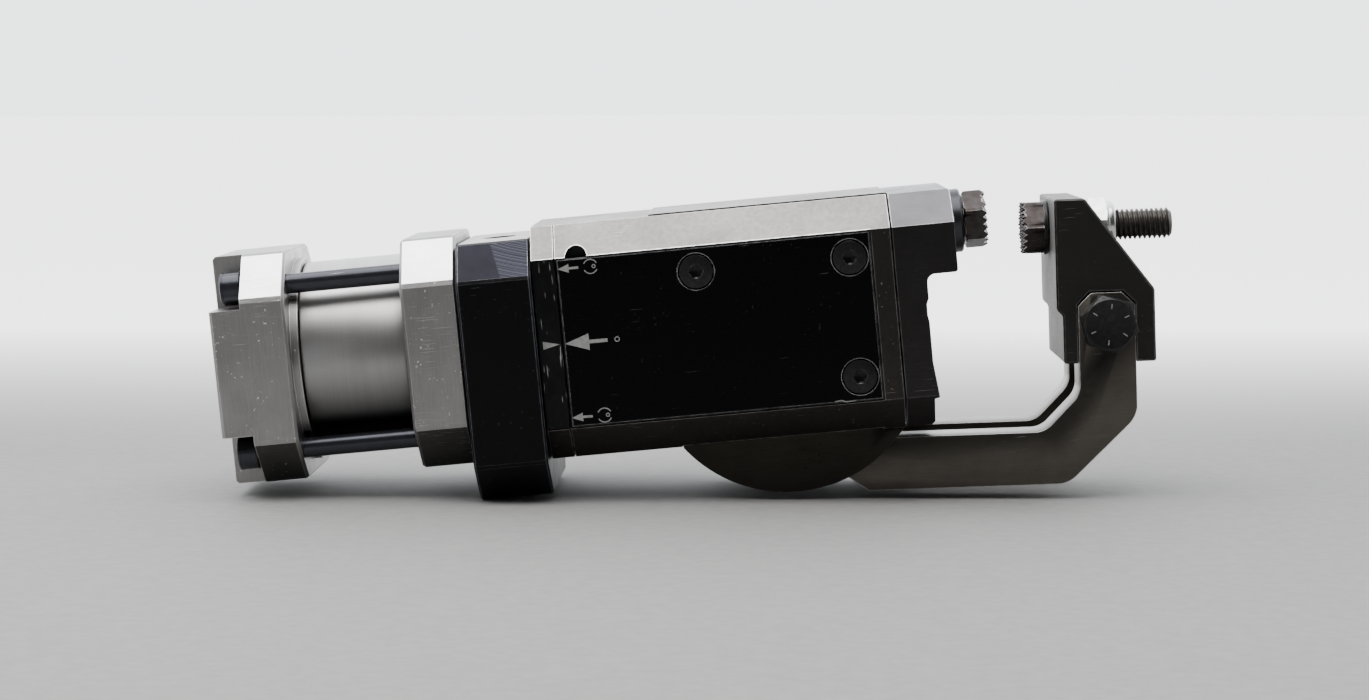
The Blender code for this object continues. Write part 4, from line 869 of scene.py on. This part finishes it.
def make_fixed_grip(materials):
    """The serrated pad on the bracket, and the spacer it is screwed down on."""
    low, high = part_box("fixed_grip_pad")
    height = (low.z + high.z) / 2
    pad_length, set_back, pad_turn = 5.8 * MM, 0.9 * MM, 0.19
    turn = TO_PLUS_X @ Matrix.Rotation(pad_turn, 4, "Z")
    place = Matrix.Translation((high.x - set_back, 0, height)) @ turn
    pad = serrated_pad("fixed_pad_hex", -pad_length, 0, materials["pad_steel"], place,
                       low.x + set_back - high.x)
    stand_for(pad, BODY, "black_oxide_steel", "fixed_grip_pad")
    low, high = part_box("pad_spacer")
    outer, inner = (high.z - low.z) / 2, 4.2 * MM
    edge = 0.4 * MM
    lip, end = low.x + 3.4 * MM, high.x - set_back
    waist = outer - 1.2 * MM
    rings = [(low.x, inner), (low.x, outer - edge), (low.x + edge, outer), (lip - edge, outer),
             (lip, outer - edge), (lip + 0.1 * MM, waist), (end - edge, waist),
             (end, waist - edge), (end, inner)]
    spacer = turned("pad_spacer_ring", rings, materials["spacer_black"],
                    Matrix.Translation((0, 0, height)) @ TO_PLUS_X, 96, holed=True)
    stand_for(spacer, BODY, "black_oxide_steel", "pad_spacer")


def make_moving_grip(materials):
    """The arm's serrated stud: its pad, its collar and the thread behind them."""
    grip = ARM_PLACE @ Matrix.Translation((0, 0, GRIP_HEIGHT)) @ TO_PLUS_X
    tip, collar, seat, end = 61.4 * MM, 67.2 * MM, 68.0 * MM, 99.8 * MM
    pad_turn = 0.49
    pad = serrated_pad("grip_stud_hex", collar, tip, materials["pad_steel"],
                       grip @ Matrix.Rotation(pad_turn, 4, "Z"))
    stand_for(pad, ARM, "black_oxide_steel", "grip_stud")
    rings = [(collar - 0.2 * MM, 5 * MM), (collar - 0.2 * MM, 7 * MM), (seat - 0.2 * MM, 7 * MM),
             (seat, 6.8 * MM), (seat, 5 * MM)]
    washer = turned("grip_stud_collar", rings, materials["black_screw"], grip, 96)
    stand_for(washer, ARM, "black_oxide_steel")
    thread = threaded("grip_stud_thread", seat - 0.1 * MM, end, materials["thread_steel"], grip)
    stand_for(thread, ARM, "black_oxide_steel")


def make_lock_nut(materials):
    """A nut with chamfered corners and a round boss towards the arm's end."""
    nut_turn = 0.3
    grip = ARM_PLACE @ Matrix.Translation((0, 0, GRIP_HEIGHT)) @ TO_PLUS_X
    grip = grip @ Matrix.Rotation(nut_turn, 4, "Z")
    low, high = 78 * MM, 85.3 * MM
    hexed = high - 1.9 * MM
    chamfer = 0.7 * MM
    boss, boss_edge = 5.1 * MM, 0.9 * MM
    rings = [(low + 0.6 * MM, 4.25 * MM), (low, 4.9 * MM)]
    rings += hex_rings((low, 6.3 * MM), (low + chamfer, 7.55 * MM))
    rings += hex_rings((hexed - chamfer, HEX_CORNER), (hexed, 6.2 * MM))
    rings += [(hexed + 0.3 * MM, 6.0 * MM)]
    rings += [(high - boss_edge + boss_edge * math.sin(a), boss + boss_edge * math.cos(a))
              for a in (0, 0.4, 0.8, 1.2, math.pi / 2)]
    rings += [(high, 4.6 * MM), (high - 0.8 * MM, 4.25 * MM)]
    nut = turned("lock_nut_hex", rings, materials["zinc"], grip, 120, holed=True, sharp_angle=25)
    stand_for(nut, ARM, "zinc_plated", "lock_nut")


def make_bolt_tick(i, head, material, place):
    """One of the short raised strokes round the top of the bolt's head."""
    start, end, half = 3.9 * MM, 5.2 * MM, 0.17 * MM
    outline = [(start, -half), (end, -half), (end, half), (start, half)]
    bm = bmesh.new()
    foot = [bm.verts.new((x, y, head + 0.2 * MM)) for x, y in outline]
    top = [bm.verts.new((x * 0.99 + 0.04 * MM, y * 0.6, head - 0.08 * MM)) for x, y in outline]
    bm.faces.new(foot)
    bm.faces.new(top[::-1])
    for j in range(4):
        k = (j + 1) % 4
        bm.faces.new((foot[j], top[j], top[k], foot[k]))
    tick = add_piece(f"jaw_bolt_tick_{i}", bm, material,
                     place @ Matrix.Rotation(math.pi / 3 * i + 0.35, 4, "Z"))
    stand_for(tick, ARM, "black_oxide_steel")


def make_jaw_bolt(materials):
    """The hex bolt through the arm's end, with its thread and nut on the far side."""
    bolt_turn = 0.28
    black = materials["black_screw"]
    place = ARM_PLACE @ Matrix.Translation((BOLT_X, 0, BOLT_Z)) @ TO_PLUS_Y
    place = place @ Matrix.Rotation(bolt_turn, 4, "Z")
    face = 18.8 * MM
    head = -face - 5.3 * MM
    washer = 6.1 * MM
    rings = [(head + 0.12 * MM, 5.5 * MM), (head, 5.9 * MM)]
    rings += hex_rings((head, 6.25 * MM), (head + 0.9 * MM, HEX_CORNER), 6)
    rings += [(-face - 0.5 * MM, HEX_CORNER, HEX_FLATS), (-face - 0.4 * MM, washer),
              (-face, washer), (-face, THREAD_RADIUS), (20 * MM, THREAD_RADIUS)]
    bolt = turned("jaw_bolt_head", rings, black, place, 120, sharp_angle=25)
    stand_for(bolt, ARM, "black_oxide_steel", "jaw_bolt")
    thread = threaded("jaw_bolt_thread", 19.5 * MM, face + 9 * MM, black, place, 48)
    stand_for(thread, ARM, "black_oxide_steel")
    nut_end = face + 6.5 * MM
    chamfer = 0.8 * MM
    rings = [(face + 0.5 * MM, 4.1 * MM), (face, 4.7 * MM)]
    rings += hex_rings((face, 6.2 * MM), (face + chamfer, HEX_CORNER))
    rings += hex_rings((nut_end - chamfer, HEX_CORNER), (nut_end, 6.2 * MM))
    rings += [(nut_end, 4.7 * MM), (nut_end - 0.5 * MM, 4.1 * MM)]
    nut = turned("jaw_bolt_hex_nut", rings, black, place, 120, holed=True, sharp_angle=25)
    stand_for(nut, ARM, "black_oxide_steel", "jaw_bolt_nut")
    for i in range(6):
        make_bolt_tick(i, head, materials["tick_grey"], place)


# ---- carried-over CAD nodes ----------------------------------------------------------
CAD_FINISH = {
    "head_aluminium": ["rear_head", "front_head", "piston"],
    "housing_aluminium": ["housing", "neck_block"],
    "cover_black": ["side_cover_front", "side_cover_rear"],
    "neck_black": ["neck_plate_front", "neck_plate_rear"],
    "flange_black": ["mounting_flange"],
    "bracket_steel": ["jaw_bracket"],
    "jaw_black": ["jaw_block"],
    "cheek_steel": ["crosshead", "cam_lever"],
    "ground_steel": ["piston_rod", "drive_pin", "pivot_shaft", "arm_dowel_1", "arm_dowel_2"],
    "black_screw": ["bracket_screw_1", "bracket_screw_2", "bracket_screw_3", "bracket_screw_4"],
    "zinc": ["piston_screw"],
    "bronze": ["rod_bush", "pivot_bush_front", "pivot_bush_rear"],
    "rubber": ["barrel_seal_rear", "barrel_seal_front", "rod_seal", "piston_seal"],
}


# Upper chamfers; the heads and bracket paint these with brighter copies, as painted highlight.
def chamfer_above(centre, normal):
    return 0.6 < normal.z < 0.8 and abs(normal.y) > 0.6


# Downward faces; the heads and housing paint these with darker copies, as painted shade.
def facing_down(centre, normal):
    return normal.z < -0.6


def finish_cad_nodes(materials):
    group = smooth_group()
    for finish, names in CAD_FINISH.items():
        for name in names:
            finish_cad_node(name, materials[finish], group)
    flat = 0.97
    turn = ARM_PLACE.to_3x3()
    back, top = turn @ Vector((-1, 0, 0)), turn @ Vector((0, 0, 1))
    second_finish("jaw_block", materials["jaw_ground"],
                  lambda centre, normal: normal.dot(back) > flat or normal.dot(top) > flat)
    _, flange_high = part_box("mounting_flange")
    flange_top = flange_high.z - 0.3 * MM
    second_finish("mounting_flange", materials["flange_ground"],
                  lambda centre, normal: normal.z > flat and centre.z > flange_top)
    second_finish("mounting_flange", materials["flange_milled"],
                  lambda centre, normal: 0.6 < normal.z < 0.8 and abs(normal.x) < 0.1)
    for head in ("rear_head", "front_head"):
        # Upper chamfers get the bright copy: painted highlight.
        second_finish(head, materials["head_painted_highlight"], chamfer_above)
        # Downward faces get the darker copy: painted shade.
        second_finish(head, materials["head_painted_shade"], facing_down)
    # Front, rear and downward faces get the darker copy: painted shade.
    for body in ("housing", "neck_block"):
        second_finish(body, materials["housing_painted_shade"],
                      lambda centre, normal: facing_down(centre, normal) or abs(normal.y) > flat)
    # The bracket's upper chamfers get the brighter copy: painted highlight.
    second_finish("jaw_bracket", materials["bracket_painted_highlight"], chamfer_above)

    cover_low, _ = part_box("side_cover_front")
    notch, notch_radius = Vector((cover_low.x + 5 * MM, 0, 21.3 * MM)), 2.9 * MM

    def in_notch(centre, normal):
        beside = Vector((centre.x - notch.x, 0, centre.z - notch.z))
        return beside.length < notch_radius and centre.y < 0

    # The front faces inside the notch get the black screw finish: painted shade in the recess.
    second_finish("housing", materials["black_screw"], in_notch)


# ---- studio --------------------------------------------------------------------------
# The image's width and the camera's focal length are in image pixels.
IMAGE_WIDTH = 1369
FOCAL_LENGTH = 2896.9
SENSOR_WIDTH = 36.0
CAMERA_POSITION = (0.13912, -0.74474, 0.05973)
CAMERA_RIGHT = Vector((0.9953, 0.0221, -0.0939))
CAMERA_FORWARD = Vector((-0.0305, 0.9956, -0.0890))


def make_camera():
    """Level camera, about 5 degrees above the table, turned to see the object's left end."""
    data = bpy.data.cameras.new("camera")
    data.sensor_width = SENSOR_WIDTH
    data.lens = SENSOR_WIDTH * FOCAL_LENGTH / IMAGE_WIDTH
    data.clip_start = 0.01
    camera = bpy.data.objects.new("camera", data)
    up = CAMERA_RIGHT.cross(CAMERA_FORWARD)
    turn = Matrix((CAMERA_RIGHT, up, -CAMERA_FORWARD)).transposed().to_4x4()
    camera.matrix_world = Matrix.Translation(CAMERA_POSITION) @ turn
    bpy.context.scene.collection.objects.link(camera)
    bpy.context.scene.camera = camera


def floor_material():
    """A pale floor that turns into a white backdrop behind the object."""
    n = Nodes("floor_pale")
    base = n.mix(n.ramp(n.noise(300, 5.0), 0.35, 0.7), (0.27, 0.265, 0.258), (0.24, 0.235, 0.23))
    world_place = n.add("ShaderNodeNewGeometry").outputs["Position"]
    far = n.ramp(n.axis(world_place, "Y"), 0.05, 0.50)
    far = n.maths("MULTIPLY", far, far)
    n.link(n.mix(far, base, (0.92, 0.92, 0.91)), n.shader.inputs["Base Color"])
    n.shader.inputs["Emission Color"].default_value = (1, 1, 0.99, 1)
    brightest = 2.0
    n.link(n.ramp(far, 0, 1, 0, brightest), n.shader.inputs["Emission Strength"])
    n.shader.inputs["Roughness"].default_value = 0.75
    return n.material


def make_floor():
    """A round floor under the object, which lies tilted on its flange and its cheeks."""
    upward = Vector((0.0933, 0, 0.9956))
    flange_low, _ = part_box("mounting_flange")
    contact = Vector((flange_low.x, 0, flange_low.z - 0.1 * MM))
    bm = bmesh.new()
    bmesh.ops.create_circle(bm, cap_ends=True, segments=96, radius=9)
    turn = upward.to_track_quat("Z", "Y").to_matrix().to_4x4()
    floor = add_piece("floor", bm, floor_material(), Matrix.Translation(contact) @ turn)


def make_light(name, location, target, size, power):
    data = bpy.data.lights.new(name, "AREA")
    data.shape = "RECTANGLE"
    data.size, data.size_y = size
    data.energy = power
    light = bpy.data.objects.new(name, data)
    light.location = location
    direction = Vector(target) - Vector(location)
    light.rotation_euler = direction.to_track_quat("-Z", "Y").to_euler()
    bpy.context.scene.collection.objects.link(light)


def make_world():
    """A soft room: bright behind the object, darker behind the camera."""
    world = bpy.data.worlds.new("studio")
    world.use_nodes = True
    tree = world.node_tree
    background = tree.nodes["Background"]
    place = tree.nodes.new("ShaderNodeTexCoord")
    slope = tree.nodes.new("ShaderNodeVectorMath")
    slope.operation = "DOT_PRODUCT"
    slope.inputs[1].default_value = (0.0, 0.9, 0.12)
    tree.links.new(place.outputs["Generated"], slope.inputs[0])
    ramp = tree.nodes.new("ShaderNodeMapRange")
    ramp.interpolation_type = "SMOOTHSTEP"
    for socket, value in (("From Min", -0.5), ("From Max", 0.9), ("To Min", 0.06),
                          ("To Max", 3.4)):
        ramp.inputs[socket].default_value = value
    tree.links.new(slope.outputs["Value"], ramp.inputs["Value"])
    tree.links.new(ramp.outputs["Result"], background.inputs["Strength"])
    background.inputs["Color"].default_value = (0.90, 0.92, 0.95, 1)
    bpy.context.scene.world = world


def make_studio():
    """The room, with a soft light above, one beyond the cylinder and a weak one in front."""
    make_world()
    middle = (0.12, 0, 0)
    make_light("top_softbox", (0.07, -0.12, 0.45), middle, (0.6, 0.46), 4.4)
    make_light("left_softbox", (-0.75, 0.05, 0.40), middle, (0.4, 0.5), 0.5)
    make_light("front_fill", (-0.45, -1.2, 0.2), (0, 0, 0), (0.6, 0.5), 0.24)


def main():
    materials = make_materials()
    finish_cad_nodes(materials)
    make_barrel(materials)
    make_tie_screws(materials)
    make_cover_screws(materials)
    make_index_marks(materials)
    make_arm_plates(materials)
    make_cheeks(materials)
    make_fixed_grip(materials)
    make_moving_grip(materials)
    make_lock_nut(materials)
    make_jaw_bolt(materials)
    make_camera()
    make_floor()
    make_studio()


main()
